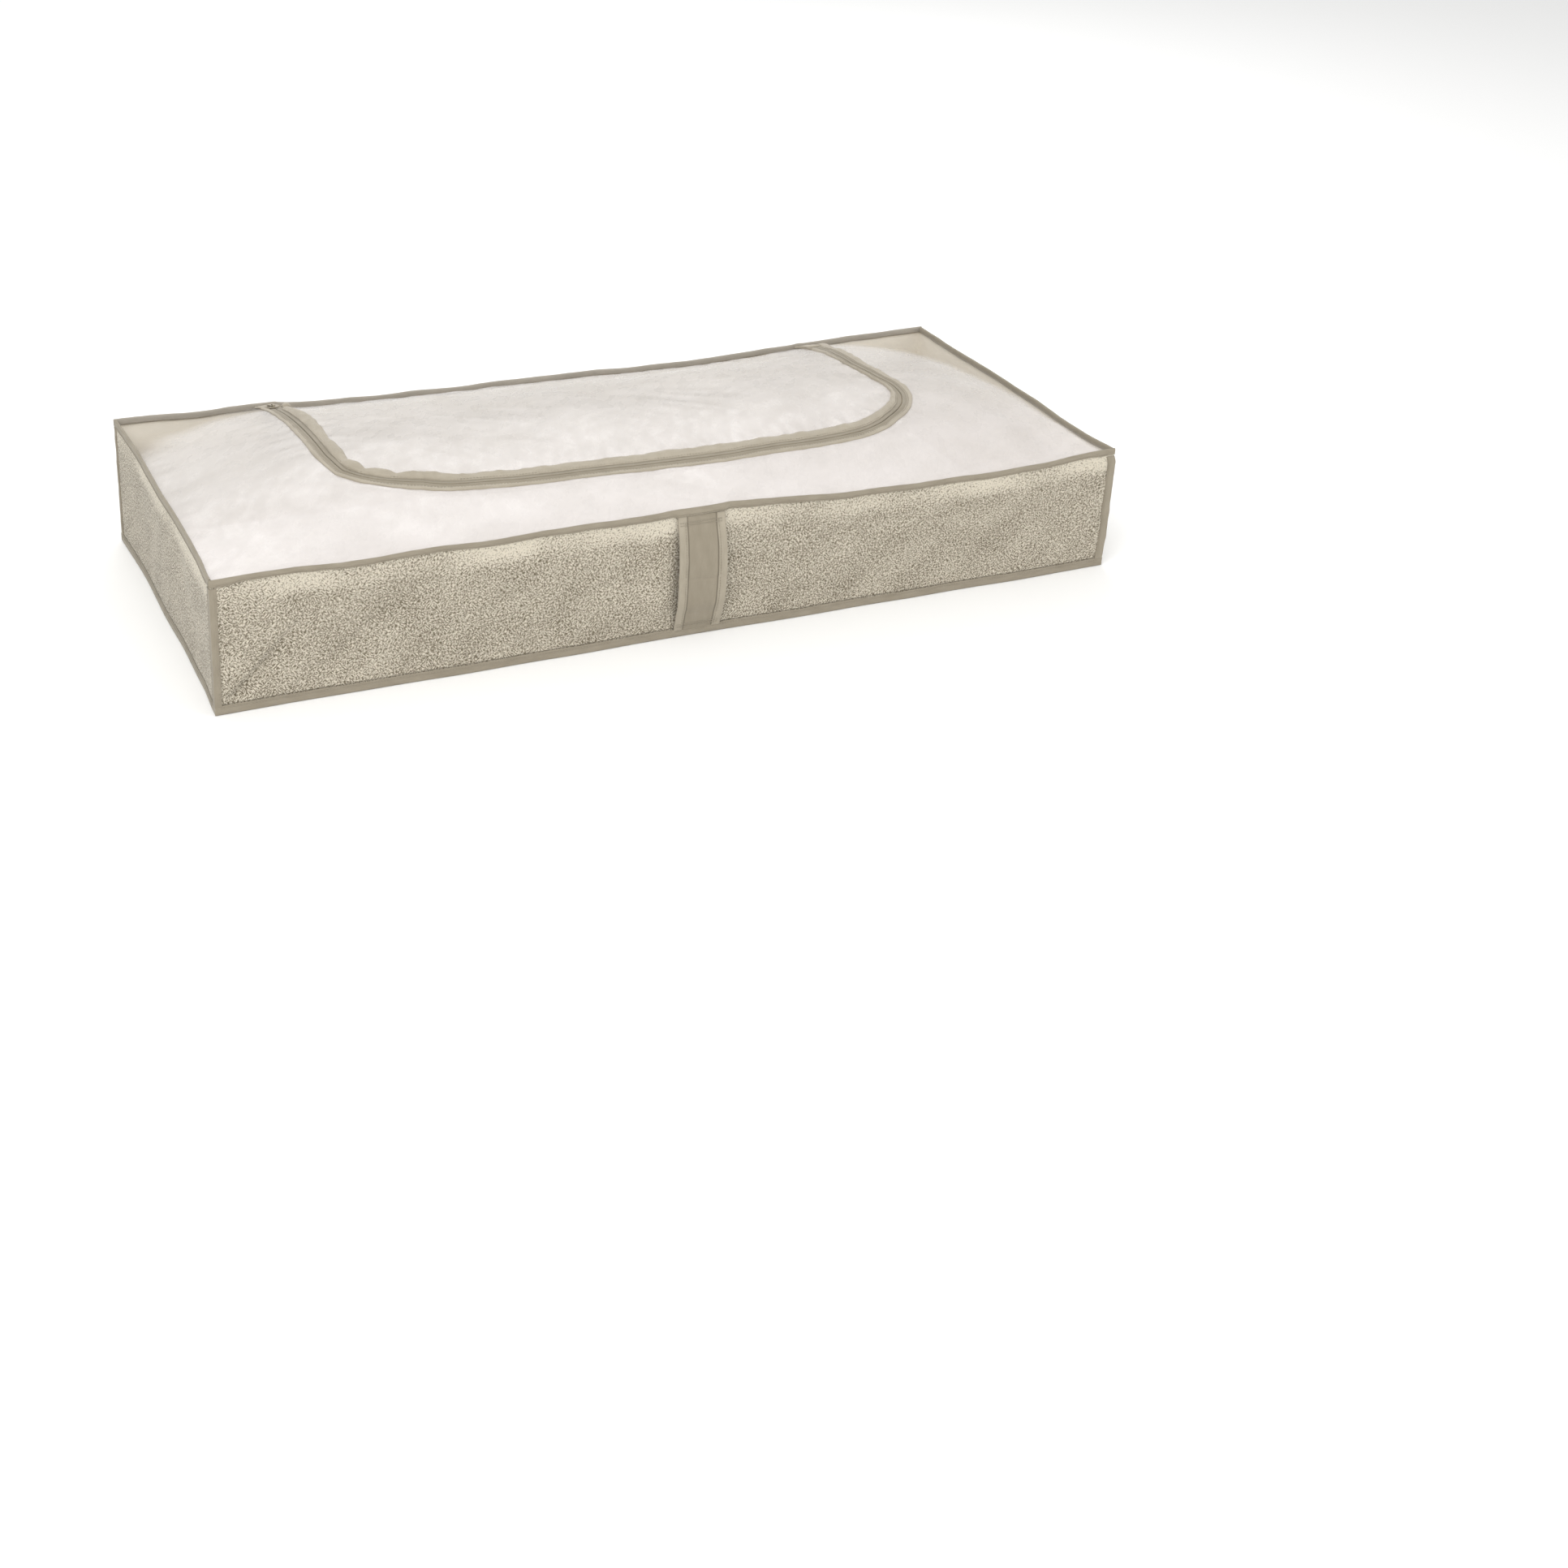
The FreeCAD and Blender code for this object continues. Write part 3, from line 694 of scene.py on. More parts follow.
def build_corner(name, x_sign, y_sign, replaced, face_width, side_width):
    """Tape round an upright corner: an L of two legs with a rounded fold, a little uneven along its height."""
    z = np.linspace(9.6, TOP - 9.6, 64)
    outer = [(0.35, side_width), (0.0, side_width - 0.5), (0.0, 6.0), (0.0, 4.5), (0.0, 2.5), (0.15, 1.2), (0.5, 0.5),
             (1.2, 0.15), (2.5, 0.0), (4.5, 0.0), (6.0, 0.0), (face_width - 0.5, 0.0), (face_width, 0.35)]
    inner = [(face_width, 1.15), (5.0, 1.15), (1.9, 1.15), (1.3, 1.3), (1.15, 1.9), (1.15, 5.0), (1.15, side_width)]
    section = np.array(outer + inner)
    seed = 70 + x_sign + 3 * y_sign
    puff = 0.28 * wavy(11, seed, z)[:, None] * (np.arange(len(section)) < len(outer))
    waver = 0.5 * wavy(24, seed + 1, z)[:, None]
    in_x, in_y = (leg - np.where(leg < 1, puff, 0) + np.where(leg > 7, waver, 0) for leg in section.T)
    points = settle(stack(x_sign * (HALF_X - in_x), y_sign * (HALF_Y - in_y), z[:, None]))
    tape = add_tape(name, points, z + 2100 * x_sign + 1000 * y_sign, section, BINDING)
    dress(tape, "root", "binding_tape", replaced)
    s = z[3:-3]
    for face, in_x, in_y, out in (("side", -0.05, side_width - 1.4, (x_sign, 0, 0)),
                                  ("end", face_width - 1.4, -0.05, (0, y_sign, 0))):
        line = stack(x_sign * (HALF_X - in_x), y_sign * (HALF_Y - in_y), s)
        add_stitches(f"{name}_{face}_stitches", settle(line), out)


for label_x, sign_x, width in (("left", -1, 7.6), ("right", 1, 10.6)):
    for label_y, sign_y in (("front", -1), ("back", 1)):
        place = f"{label_y}_{label_x}"
        build_corner(f"corner_tape_{place}", sign_x, sign_y, f"corner_binding_{place}", width, 9.0)


# The lid: film panels with a puckered edge beside the zip, and pieces sewn along the zip's line.

def lid_swell(x, y):
    """Long soft swells of the whole lid, shared by the film and everything sewn to it. Flat round the slider's run."""
    swell = 2.6 * wavy(190, 81, x, y) + 1.2 * wavy(85, 83, x, y)
    edge = smooth(0, 55, LID_X - abs(x)) * smooth(0, 50, LID_Y - abs(y))
    run = 1 - smooth(55, 18, abs(x + LEG_X)) * smooth(-75, -35, y)
    return swell * edge * run * (0.35 + 0.65 * smooth(0, 60, LID_Y - y))


DRAWN_FOLDS = ((28, 150, 26, 95, 0.75), (-33, 130, 22, 97, 0.7), (80, 120, 34, 98, 0.55))   # see film_wrinkle


def film_wrinkle(x, y):
    """Fine wrinkles of the film alone: puckers square to the zip's seams and the rim, and long drawn folds."""
    d, s = zip_distance(x, y), zip_length_at(x, y)
    off, in_x, in_y = abs(d), LID_X - abs(x), LID_Y - abs(y)
    gather = wavy(15, 91, s, d * 0.22) + 0.4 * wavy(7.5, 92, s, d * 0.3)
    height = 0.95 * gather * bell(off - 14, 30)
    rim = np.minimum(in_x, in_y)
    height = height + 0.6 * wavy(14, 93, np.where(in_x < in_y, y, x), rim * 0.25) * bell(rim, 26)
    for angle, length, width, seed, amount in DRAWN_FOLDS:
        a = math.radians(angle)
        u, v = x * math.cos(a) + y * math.sin(a), y * math.cos(a) - x * math.sin(a)
        fold = wavy(width, seed, u / length * width, v)
        height = height + amount * (0.8 - abs(fold)) * np.clip(wavy(160, seed + 10, x, y) + 0.5, 0, 1)
    return height * smooth(9, 20, off) * smooth(2, 12, in_x) * smooth(2, 12, in_y)


def lid_points(x, y, lift):
    return stack(x, y, crown_height(x, y) + lid_swell(x, y) + film_wrinkle(x, y) + lift)


def add_film(name, x, y, replaced):
    top = lid_points(x, y, -0.05)
    obj = add_sheet(name, settle(top), settle(top - [0, 0, FILM_THICKNESS]), stack(x, y), FILM)
    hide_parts(replaced)
    return fix_normals(obj)


def bend_flap(obj):
    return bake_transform(obj, "root", "lid_flap", (0, HINGE[1] - 1 * MM, HINGE[2]), (0, HINGE[1] - 26 * MM, HINGE[2]))


FILM_EDGE = 8                           # both films stop this far from the zip's centre line
FLAP_HALF = 344                         # half the flap's width at its hinge


def build_surround():
    corner = math.atan2(LID_Y + BEND_Y, LID_X - (LEG_X - BEND))
    turns = np.concatenate([np.linspace(0, corner, 40)[1:], np.linspace(corner, math.pi / 2, 30)[1:]])
    half = np.concatenate([np.linspace(0, LEG_LENGTH, 66), LEG_LENGTH + BEND * turns,
                           np.linspace(LEG_LENGTH + BEND_LENGTH, ZIP_LENGTH / 2, 64)[1:]])
    s = np.concatenate([half, (ZIP_LENGTH - half)[::-1][1:]])
    x, y, nx, ny = zip_point(s)
    x = np.where(s == ZIP_LENGTH / 2, 0.0, x)
    far = 9000
    reach_x = np.where(abs(nx) > 1e-6, (LID_X - abs(x)) / np.maximum(abs(nx), 1e-6), far)
    reach_y = np.where(ny < -1e-6, (LID_Y + y) / np.maximum(-ny, 1e-6), far)
    reach = np.minimum(reach_x, reach_y)[:, None] - FILM_EDGE
    d = FILM_EDGE + reach * np.linspace(0, 1, 52) ** 1.15
    px, py = x[:, None] + nx[:, None] * d, y[:, None] + ny[:, None] * d
    obj = add_film("lid_surround_panel", px, py, "lid_surround_film")
    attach(obj, "root")


def build_flap():
    s = np.concatenate([np.linspace(LID_Y - FLAP_TOP, LEG_LENGTH, 62),
                        LEG_LENGTH + BEND * np.linspace(0, math.pi / 2, 34)[1:]])
    x, y = beside_zip(s, -FILM_EDGE)
    x = x + (LEG_X - FLAP_HALF - FILM_EDGE) * smooth(END_Y - 6, END_Y - 1, y)
    across = np.linspace(-1, 1, 190)
    px, py = np.broadcast_arrays(abs(x)[:, None] * across, y[:, None])
    obj = add_film("lid_flap_panel", px, py, "lid_flap_film")
    bend_flap(obj)
    (FLAP_TOP - FRONT_Y) * MM


build_surround()
build_flap()


def strip(name, s, d, h, material):
    """A closed section run along the zip's line. d is distance out and h height over the film, both (n, m)."""
    points = settle(lid_points(*beside_zip(s[:, None], d), h))
    around = np.cumsum(np.hypot(np.diff(d, axis=1, prepend=d[:, :1]), np.diff(h, axis=1, prepend=h[:, :1])), axis=1)
    return add_sweep(name, points, stack(s[:, None], around), material)


def steps(start, end, size):
    return np.linspace(start, end, int((end - start) / size) + 1)


def stitch_zip(name, s, d, h, body):
    """A row of stitches beside the zip, at distances and a height along it."""
    x, y = beside_zip(s, d)
    line = settle(lid_points(x, y, h))
    return add_stitches(name, line, stack(0 * y, y / CROWN_R, 1.0), body, "zip_tape", 3.6, 2.4)


INNER_START = LID_Y - END_Y             # length along the zip where the flap's tape starts
TAPE_SECTION = np.array((               # distance out from the zip's line, height over the film
    (0.58, -0.35), (0.6, 0.35), (0.85, 0.85), (1.5, 1.05), (2.6, 1.02), (3.3, 0.72), (3.9, 0.55), (5.5, 0.5),
    (9.0, 0.5), (12.0, 0.45), (12.0, 0.02), (9.0, 0.0), (5.5, -0.05), (3.4, -0.05), (2.6, 0.0), (1.2, 0.0),
    (0.95, -0.35)))


def build_zip_tape(name, sign, body, start, replaced):
    s = steps(start, ZIP_LENGTH - start, 3)
    out, up = TAPE_SECTION.T
    d = sign * out + 0.2 * wavy(16, 101, s)[:, None] * (out > 3)
    dress(strip(name, s, d, np.broadcast_to(up, d.shape), ZIP_TAPE), body, "zip_tape", replaced)


def build_coil(name, sign, body, start, phase, replaced):
    """One row of the zip's coil: a wire wound along the underside of its tape."""
    pitch = 1.7
    s = np.linspace(start, ZIP_LENGTH - start, int((ZIP_LENGTH - 2 * start) / pitch) * 7 + 1)
    angle = 2 * math.pi * (s - start) / pitch + phase
    d = sign * 1.75 + 0.9 * np.cos(angle)
    line = lid_points(*beside_zip(s, d), -0.82 + 0.55 * np.sin(angle))
    _, _, nx, ny = zip_point(s)
    ahead = unit(np.gradient(line, axis=0))
    side = unit(np.cross(ahead, stack(nx, ny, 0.0)))
    other = np.cross(side, ahead)
    turn = np.linspace(0, 2 * math.pi, 5, endpoint=False)[:, None]
    points = line[:, None] + 0.24 * (side[:, None] * np.cos(turn) + other[:, None] * np.sin(turn))
    cloth = np.broadcast_to(stack(s, d)[:, None], points.shape[:2] + (2,))
    dress(add_sweep(name, settle(points), cloth, COIL, 80), body, "zip_coil", replaced)


build_zip_tape("zip_tape_on_surround", 1, "root", 0.5, "zip_tape_outer")
build_zip_tape("zip_tape_on_flap", -1, "lid_flap", INNER_START, "zip_tape_inner")
build_coil("zip_coil_on_surround", 1, "root", LID_Y - 205, 0.0, "zip_coil_outer")
build_coil("zip_coil_on_flap", -1, "lid_flap", INNER_START, math.pi, "zip_coil_inner")


def add_binding(name, sign, s, near, far, puff, seed, gather, fade):
    """A folded binding between two distances out, full in the middle. Its top is gathered in ridges square to the
    zip, which are strongest at the seam and lose fade by the outer edge."""
    t = np.linspace(0, 1, 11)
    d = near[:, None] + (far - near)[:, None] * t
    body = np.sin(math.pi * np.clip(t * 0.94 + 0.03, 0, 1)) ** 0.45
    bottom = 0.55 * (d < 12.3) + 0.03   # over the zip's tape, then down on the film
    top = np.maximum(0.55 + (0.95 + puff[:, None]) * body, bottom + 0.5)
    ridge = wavy(8.5, seed, s[:, None], t * 9) + 0.45 * wavy(4.6, seed + 1, s[:, None], t * 6)
    top = top + ridge * (gather - fade * t) * np.sin(math.pi * np.clip(t, 0.04, 0.96)) ** 0.5
    h = np.maximum(np.concatenate([top, bottom[:, ::-1]], 1), 0.02)
    return strip(name, s, sign * np.concatenate([d, d[:, ::-1]], 1), h, PALE_TAPE)


PINCHES = np.array((30, 206, 272, 303, 342, 426))   # where the flap's binding is pinched, along the zip


def right_end(s, bend_share, leg_share):
    """1 on the zip's right leg, 0 before its right bend."""
    return smooth(ZIP_LENGTH - LEG_LENGTH - BEND_LENGTH * bend_share, ZIP_LENGTH - LEG_LENGTH * leg_share, s)


def build_flap_binding():
    s = steps(LID_Y - FLAP_TOP, ZIP_LENGTH - (LID_Y - FLAP_TOP), 1.7)
    places = np.interp(s, PINCHES, np.arange(len(PINCHES)), left=-0.5)
    scallop = abs(np.sin(math.pi * places)) ** 0.75 * (s > 20)
    pinched = 1 - smooth(PINCHES[-1] - 1, PINCHES[-1], s)
    far = 23 - 8 * right_end(s, 0.8, 0.9) + 7.0 * (scallop - 0.35) * pinched + 0.9 * wavy(22, 111, s)
    beside_end = smooth(INNER_START + 5, INNER_START, np.minimum(s, ZIP_LENGTH - s))
    near = 6 + 8.3 * beside_end + 0.3 * wavy(12, 113, s) * (1 - beside_end)
    puff = 1.2 + 3.2 * (scallop - 0.25) * pinched + 0.5 * wavy(30, 115, s)
    obj = add_binding("zip_flap_binding", -1, s, near, far, puff, 117, 0.713, 0.372)
    bend_flap(dress(obj, None, "zip_tape", "lid_flap_binding"))
    seam = s[(s > 14) & (s < ZIP_LENGTH - 14)]
    bend_flap(stitch_zip("zip_flap_binding_stitches", seam, -(np.interp(seam, s, near) + 1.9), 1.75, None))


def build_outer_binding():
    s = steps(0.5, ZIP_LENGTH - 0.5, 1.9)
    far = 14.5 + 9.0 * right_end(s, 0.5, 0.85) + 0.8 * wavy(26, 121, s)
    near = 6 + 0.3 * wavy(12, 123, s)
    puff = 0.35 + 0.35 * wavy(24, 125, s)
    obj = add_binding("zip_surround_binding", 1, s, near, far, puff, 127, 0.3, 0.0)
    dress(obj, "root", "zip_tape", "lid_surround_binding")
    stitch_zip("zip_surround_binding_stitches", s[8:-8], near[8:-8] + 1.9, 1.6, "root")


build_flap_binding()
build_outer_binding()


def build_zip_end(name, x_sign, replaced):
    """The zip's back end: both tapes run on to the rim, and a folded fabric tab covers them."""
    leg = x_sign * LEG_X
    u, v = grid(np.linspace(-12, 0.35, 9), np.linspace(END_Y + 0.6, LID_Y - 0.3, 24))
    x = leg + x_sign * u
    top, under = lid_points(x, v, 0.55 + 0.35 * bell(u + 2, 1.3)), lid_points(x, v, 0)
    pad = add_sheet(f"{name}_tape", settle(top), settle(under), stack(v, u), ZIP_TAPE)
    dress(fix_normals(pad), "root", "zip_tape")
    half, length, start = 15, 26, 198.4
    u, v = grid(np.linspace(-1, 1, 34), np.linspace(0, 1, 30))
    x = leg + u * (half - 1.2 * smooth(0.5, 1.0, v)) + 0.3 * wavy(0.5, 131, v, u)
    y = start + v * (LID_Y - 0.3 - start)
    edge = np.clip(np.minimum((1 - abs(u)) * half, v * length) / 1.6, 0, 1)
    ridge = wavy(6.0, 133, u * half, v * 8)
    thick = 1.0 + 1.15 * np.sqrt(edge * (2 - edge)) + (0.35 * ridge + 0.5 * bell(u * half - 2 * ridge, 4.0)) * edge
    thick = thick - 0.55 * bell(abs(u) * half - 12.2, 0.8) - 0.5 * bell(v * length - 2.8, 0.8)
    top, under = lid_points(x, y, thick), lid_points(x, y, 0.75)
    tab = add_sheet(name, settle(top), settle(under), stack(x, y), PALE_TAPE)
    dress(fix_normals(tab), "root", "binding_tape", replaced)
    line_y = np.linspace(201.5, LID_Y - 2, 12)
    for side, label in ((-1, "inner"), (1, "outer")):
        line = settle(lid_points(np.full_like(line_y, leg + side * 12.1), line_y, 1.75))
        add_stitches(f"{name}_stitches_{label}", line, (0, 0.3, 1.0), pitch=2.6, length=1.9)


build_zip_end("zip_end_cover_left", -1, "zip_end_tab_left")
build_zip_end("zip_end_cover_right", 1, "zip_end_tab_right")


# Slider and pull, in the slider's own frame, then set on the zip's left leg.

SLIDER_TURN = -math.asin(189.5 / CROWN_R)
SLIDER_PLACE = (Matrix.Scale(MM, 4) @ Matrix.Translation((0, 0, SEAM_Z + CROWN - CROWN_R))
                @ Matrix.Rotation(SLIDER_TURN, 4, "X") @ Matrix.Translation((-LEG_X, 0, CROWN_R)))
PIN_Z = 3.8


def join_rings(edit, rings, closed=False):
    """Faces between rings of vertices, in a row with capped ends, or closed on themselves."""
    if not closed:
        edit.faces.new(rings[0][::-1])
        edit.faces.new(rings[-1])
    for first, second in zip(rings, rings[1:] + rings[:1] if closed else rings[1:]):
        for i in range(len(first)):
            edit.faces.new([first[i - 1], first[i], second[i], second[i - 1]])


def add_outline(edit, outline, low, high):
    """A solid with a flat top and bottom from a plan outline."""
    join_rings(edit, [[edit.verts.new((x, y, z)) for x, y in outline] for z in (low, high)])


def rounded(corners, radius, parts=6):
    """A polygon with each corner rounded."""
    points = []
    for i, corner in enumerate(corners):
        corner = Vector(corner)
        before, after = Vector(corners[i - 1]) - corner, Vector(corners[(i + 1) % len(corners)]) - corner
        reach = min(radius, before.length / 2.05, after.length / 2.05)
        start, end = corner + before.normalized() * reach, corner + after.normalized() * reach
        for t in np.linspace(0, 1, parts + 1):
            points.append(tuple(start * (1 - t) ** 2 + corner * 2 * t * (1 - t) + end * t ** 2))
    return points


def metal_object(name, edit, bevel, body, *replaced):
    mesh = bpy.data.meshes.new(name)
    bmesh.ops.recalc_face_normals(edit, faces=edit.faces)
    edit.to_mesh(mesh)
    edit.free()
    obj = link(name, mesh)
    if bevel:
        modifier = obj.modifiers.new("bevel", "BEVEL")
        modifier.width, modifier.segments, modifier.limit_method = bevel, 3, "ANGLE"
        bpy.context.view_layer.update()
        shaped = bpy.data.meshes.new_from_object(obj.evaluated_get(bpy.context.evaluated_depsgraph_get()))
        obj.modifiers.clear()
        obj.data = shaped
    set_cloth(obj.data, [vertex.co for vertex in obj.data.vertices])
    obj.data.materials.append(METAL)
    obj.data.shade_smooth()
    obj.data.set_sharp_from_angle(angle=math.radians(35))
    obj.data.transform(SLIDER_PLACE)
    dress(obj, body, "zip_metal", *replaced)


def add_plate(name, outline, low, high, bevel, body, *replaced):
    edit = bmesh.new()
    add_outline(edit, outline, low, high)
    metal_object(name, edit, bevel, body, *replaced)


BAIL_SECTION = ((-1.1, -0.25), (-0.85, -0.45), (0.85, -0.45), (1.1, -0.25), (1.1, 0.25), (0.85, 0.45), (-0.85, 0.45),
                (-1.1, 0.25))


def build_slider():
    body = "zip_slider"
    shield = rounded([(-5, -6), (5, -6), (5, 0), (3.5, 6), (-3.5, 6), (-5, 0)], 1.8)
    add_plate("slider_top_plate", shield, 1.4, 2.6, 0.3, body, "zip_slider_body")
    add_plate("slider_bottom_plate", shield, -3.2, -2.0, 0.3, body)
    neck = rounded([(-0.35, -6), (0.35, -6), (0.35, -1.5), (0, 0), (-0.35, -1.5)], 0.2, 3)
    add_plate("slider_neck", neck, -2.1, 1.5, 0, body)
    for side, label in ((-1, "left"), (1, "right")):
        lip = [(side * x, y) for x, y in ((5, -5.0), (5, -0.2), (4.1, 3.4), (3.5, 3.4), (4.3, -0.2), (4.3, -5.0))]
        add_plate(f"slider_lip_{label}", lip[::side], 1.15, 1.6, 0.12, body)
    turns = math.pi - np.linspace(0, math.pi, 13)
    arch = [(4.05 * math.cos(a), 3.9 + 1.65 * abs(math.sin(a)) ** 0.75) for a in turns]
    path = np.array([(-4.45, 2.2), (-4.4, 3.6)] + arch + [(4.4, 3.6), (4.45, 2.2)])
    tangent = unit(np.gradient(path, axis=0))
    edit = bmesh.new()
    rings = [[edit.verts.new((a, py - ty * b, pz + tx * b)) for a, b in BAIL_SECTION]
             for (py, pz), (tx, ty) in zip(path, tangent)]
    join_rings(edit, rings)
    metal_object("slider_bail", edit, 0, body)


def build_pull():
    body, low, high = "zip_pull", PIN_Z - 0.6, PIN_Z + 0.6
    edit = bmesh.new()
    bmesh.ops.create_cone(edit, cap_ends=True, segments=20, radius1=0.7, radius2=0.7, depth=5.0,
                          matrix=Matrix.Translation((0, 0, PIN_Z)) @ Matrix.Rotation(math.pi / 2, 4, "Y"))
    metal_object("pull_pin", edit, 0.12, body, "zip_pull_tab")
    for side, label in ((-1, "left"), (1, "right")):
        arm = [(side * x, y) for x, y in ((1.65, -0.8), (2.6, -0.8), (2.6, 5.6), (1.65, 5.6))]
        add_plate(f"pull_arm_{label}", rounded(arm[::side], 0.4, 3), low, high, 0.2, body)
    outline = np.array(rounded([(-3.5, 5.3), (3.5, 5.3), (3.5, 20), (-3.5, 20)], 2.6, 10))
    centre, hole, lip = np.array((0, 15.6)), 1.5, 0.14
    start, edge = outline - centre, np.roll(outline, -1, axis=0) - outline

    def reach(way):
        """Distance from the hole's centre to the outline."""
        cross = way[0] * edge[:, 1] - way[1] * edge[:, 0]
        cross = np.where(abs(cross) < 1e-9, np.nan, cross)
        t = (start[:, 0] * edge[:, 1] - start[:, 1] * edge[:, 0]) / cross
        u = (start[:, 0] * way[1] - start[:, 1] * way[0]) / cross
        return t[(t > 0) & (u >= -1e-6) & (u <= 1 + 1e-6)].max()

    profile = ((0.15, 0, low), (1.0, lip, low), (1.0, 0, low + 0.2), (1.0, 0, high - 0.2), (1.0, lip, high),
               (0.82, 0, high), (0.76, 0, PIN_Z + 0.35), (0.2, 0, PIN_Z + 0.35), (0.0, 0, PIN_Z + 0.55),
               (0.0, 0.1, PIN_Z + 0.2), (0.0, 0.1, PIN_Z - 0.45))      # share of the way out, inset, height
    angles = 2 * math.pi * np.arange(56) / 56
    ways = stack(np.cos(angles), np.sin(angles))
    edit = bmesh.new()
    rings = [[edit.verts.new((*(centre + way * (hole + (reach(way) - hole) * share - inset)), z)) for way in ways]
             for share, inset, z in profile]
    join_rings(edit, rings, closed=True)
    metal_object("pull_tab", edit, 0, body)


build_slider()
build_pull()


# Handle: a bowed strap with folded edge tapes, in halves that meet where it is held.

STRAP_SECTION = np.array((              # in from the strap's edge, out from its inner face
    (0.0, 1.0), (0.05, 1.6), (0.4, 2.05), (1.2, 2.2), (3.0, 2.15), (5.5, 2.15), (8.0, 2.12), (9.4, 2.05), (9.9, 1.85),
    (9.9, 1.5), (5.0, 1.56), (0.9, 1.56), (0.9, 0.44), (5.0, 0.44), (9.9, 0.5), (9.9, 0.15), (9.4, 0.0), (5.5, 0.0),
    (1.2, 0.0), (0.4, 0.1), (0.05, 0.5)))


def strap_bow(z):
    """How far the strap's inner face stands off the wall's outer face."""
    return 0.35 + 10.2 * (1 - np.clip(abs(z - STRAP_MID) / 62, 0, 1) ** 2.3)


def strap_points(x, z, out):
    """Points on the strap: out is the distance from its inner face. It is slack, more towards its lower end."""
    ripple = (wavy(19, 141, x * 0.35, z) - 0.9 * bell(z - 73, 2.2)) * smooth(60, 44, abs(z - STRAP_MID))
    ripple = ripple * 0.55 * (1 + 0.8 * smooth(70, 30, z))
    slope = strap_bow(z + 0.5) - strap_bow(z - 0.5)
    y = FACE - HALF_Y - strap_bow(z) * (1 + 0.16 * x / STRAP_HALF) - ripple - out / np.sqrt(1 + slope ** 2)
    return stack(x, y, z)


def build_strap(label, z0, z1, replaced):
    """Half of the strap, between heights z0 and z1."""
    def bend_strap(obj):
        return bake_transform(obj)

    z = np.linspace(z0, z1, 42)
    ends = np.minimum(smooth(7, 14, z), smooth(6, 13, TOP - z))
    gx, gz = grid(np.linspace(-STRAP_HALF + 0.6, STRAP_HALF - 0.6, 30), z)
    outer, inner = (strap_points(gx, gz, out * (0.3 + 0.7 * ends)) for out in (1.55, 0.45))
    strap = fix_normals(add_sheet(f"strap_{label}", outer, inner, stack(gz, gx), WEBBING))
    bend_strap(dress(strap, None, "handle_webbing", "handle_strap", replaced))
    in_edge, out_face = STRAP_SECTION.T
    for side, name in ((-1, "left"), (1, "right")):
        waver = 0.3 * wavy(14, 151 + side, z)[:, None] * (in_edge > 9)
        puff = 0.16 * wavy(8, 153 + side, z)[:, None] * (out_face > 1.8)
        x = side * (STRAP_HALF + 0.45 - in_edge - waver)
        out = out_face * (0.35 + 0.65 * ends)[:, None] + puff * ends[:, None]
        tape = add_tape(f"strap_tape_{name}_{label}", strap_points(x, z[:, None], out), z, STRAP_SECTION, EDGE_TAPE)
        bend_strap(dress(tape, None, "binding_tape", f"handle_edge_tape_{name}"))
        line_z = np.linspace(max(z0, 11), min(z1, TOP - 11), 40)
        line = strap_points(side * (STRAP_HALF - 7.6), line_z, 2.2)
        bend_strap(add_stitches(f"strap_stitches_{name}_{label}", line, (0, -1, 0), None, "handle_webbing", 3.2, 2.2))
    x = np.linspace(-STRAP_HALF + 1, STRAP_HALF - 1, 50)
    out = np.where(abs(x) > STRAP_HALF - 9.5, 2.25, 1.7)
    for word, inset in (("anchor", 13.5), ("anchor_two", 16.5)):
        line = strap_points(x, inset if label == "lower" else TOP - inset, out)
        add_stitches(f"strap_{word}_{label}", line, (0, -1, 0), "root", "handle_webbing", 3.0, 2.1)


build_strap("lower", 6.5, STRAP_MID, "handle_bottom_end")
build_strap("upper", STRAP_MID, TOP - 6.5, "handle_top_end")


# Stage, light and camera, in metres.

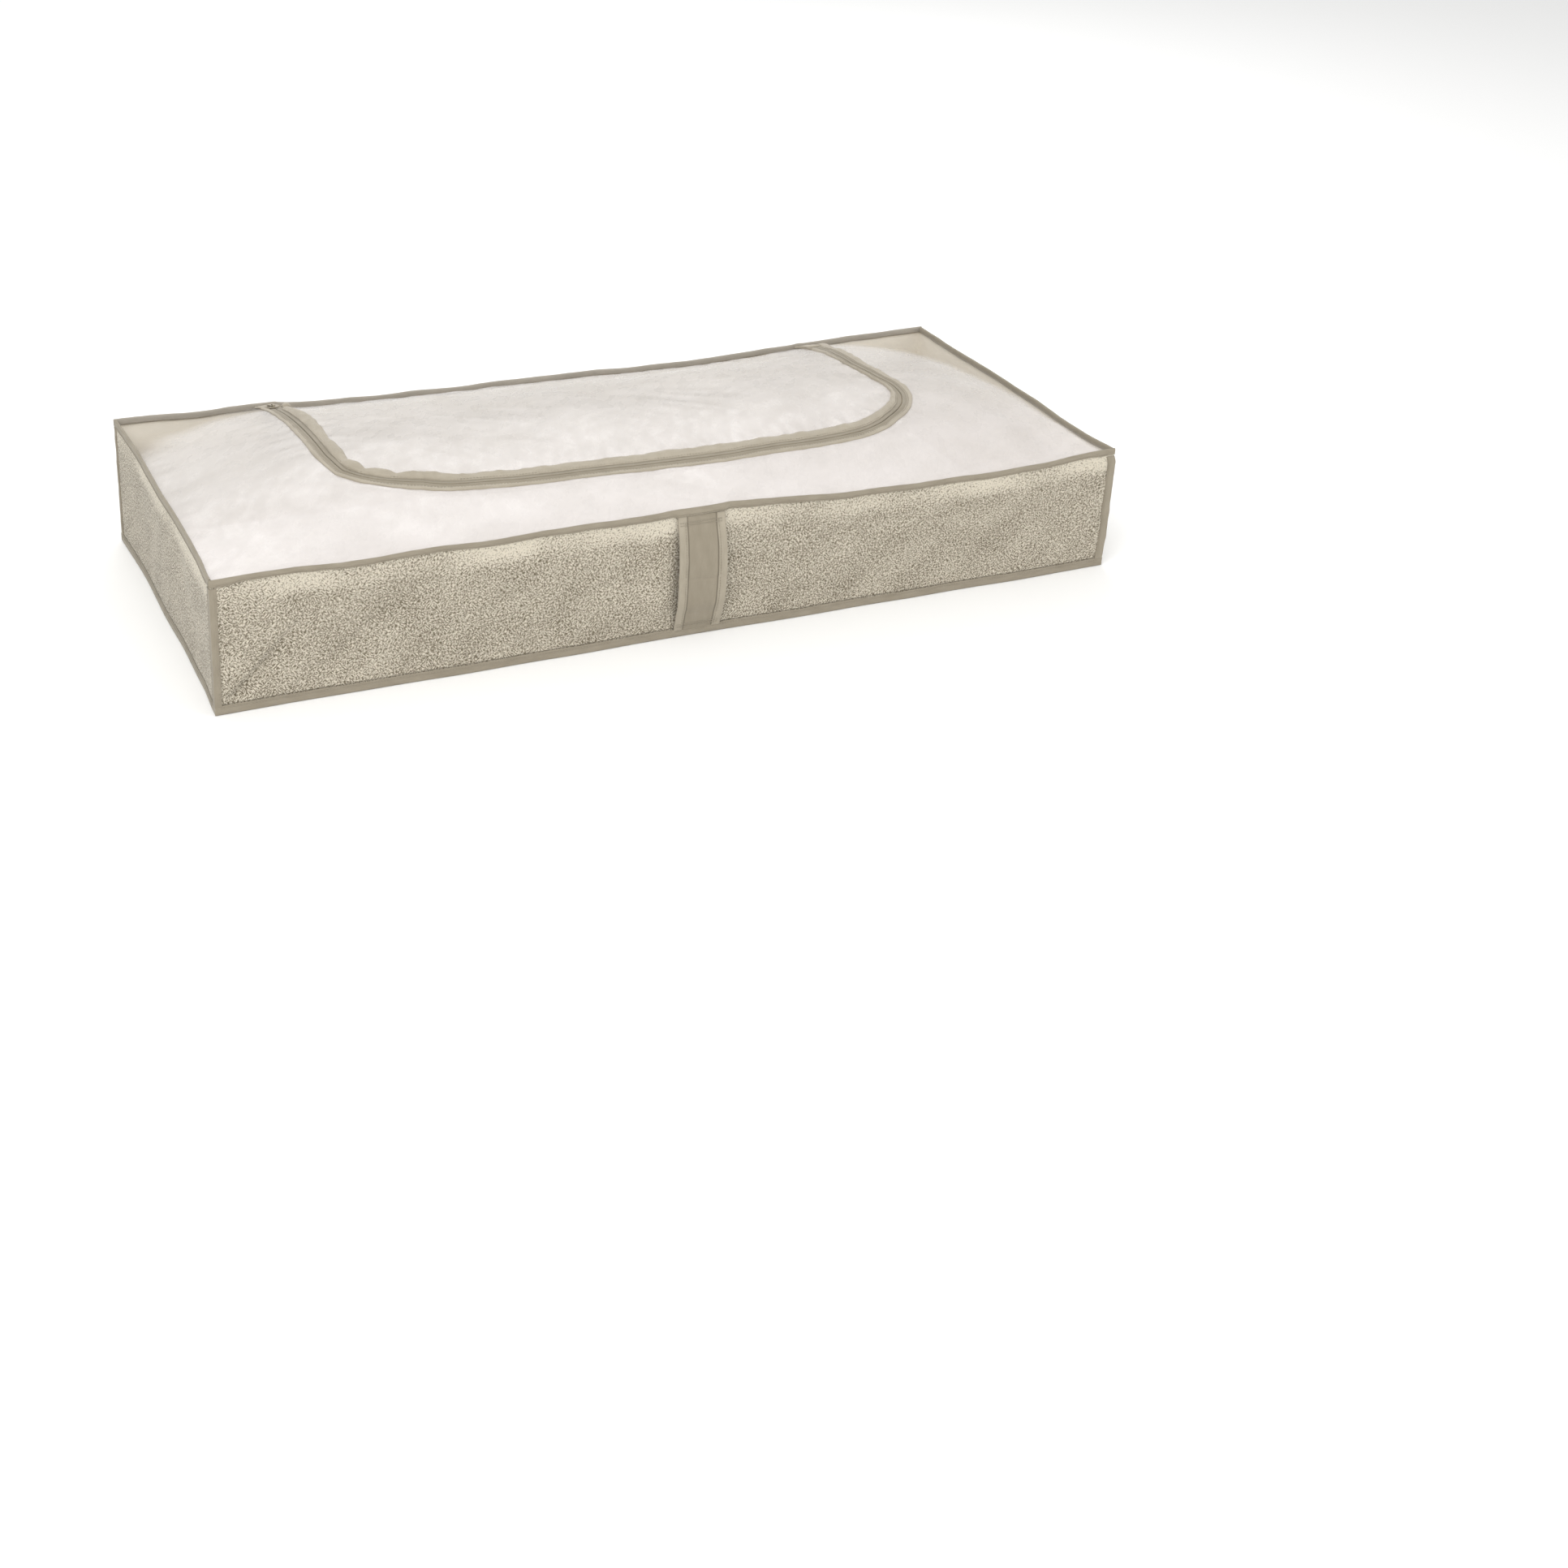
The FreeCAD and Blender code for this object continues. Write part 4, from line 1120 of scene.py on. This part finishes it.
def area_light(name, place, target, size, power):
    data = bpy.data.lights.new(name, "AREA")
    data.shape, data.size, data.size_y, data.energy = "RECTANGLE", *size, power
    light = link(name, data)
    light.location = place
    light.rotation_euler = (Vector(target) - Vector(place)).to_track_quat("-Z", "Y").to_euler()


floor_mesh = bpy.data.meshes.new("studio_floor")
floor_mesh.from_pydata([(-30, -30, 0), (30, -30, 0), (30, 30, 0), (-30, 30, 0)], [], [(0, 1, 2, 3)])
floor_mesh.materials.append(Nodes("studio_floor").finish(linear(250, 250, 249), 0.9, specular=0.1))
floor = link("studio_floor", floor_mesh)
floor.location.z = -0.0005

area_light("key_light", (-1.6, -1.9, 2.6), (0, 0, 0.05), (2.2, 2.2), 62)
area_light("fill_light", (2.4, -2.2, 1.5), (0, 0, 0.1), (2.0, 2.0), 22)
area_light("back_light", (0.4, 2.6, 2.2), (0, 0, 0.1), (3.0, 1.4), 40)

scene = bpy.context.scene
scene.world = bpy.data.worlds.new("studio")
scene.world.use_nodes = True
background = scene.world.node_tree.nodes["Background"]
background.inputs["Color"].default_value, background.inputs["Strength"].default_value = (1, 1, 1, 1), 0.75
scene.view_settings.view_transform = "Standard"

VIEW_AZ, VIEW_EL, VIEW_DISTANCE, VIEW_ROLL = -26.341, 25.082, 2.69087, 2.874
VIEW_TARGET = Vector((0.09222, -0.07863, 0))
az, el, roll = (math.radians(angle) for angle in (VIEW_AZ, VIEW_EL, VIEW_ROLL))
back = Vector((math.sin(az) * math.cos(el), -math.cos(az) * math.cos(el), math.sin(el)))
across = (-back).cross(Vector((0, 0, 1))).normalized()
upward = across.cross(-back)
axes = (across * math.cos(roll) + upward * math.sin(roll), upward * math.cos(roll) - across * math.sin(roll), back)
camera = link("camera", bpy.data.cameras.new("camera"))
camera.matrix_world = Matrix.Translation(VIEW_TARGET + back * VIEW_DISTANCE) @ Matrix(axes).transposed().to_4x4()
camera.data.lens, camera.data.sensor_width = 52.429, 36.0
camera.data.shift_x, camera.data.shift_y = 0.0445, -0.1377
scene.camera = camera
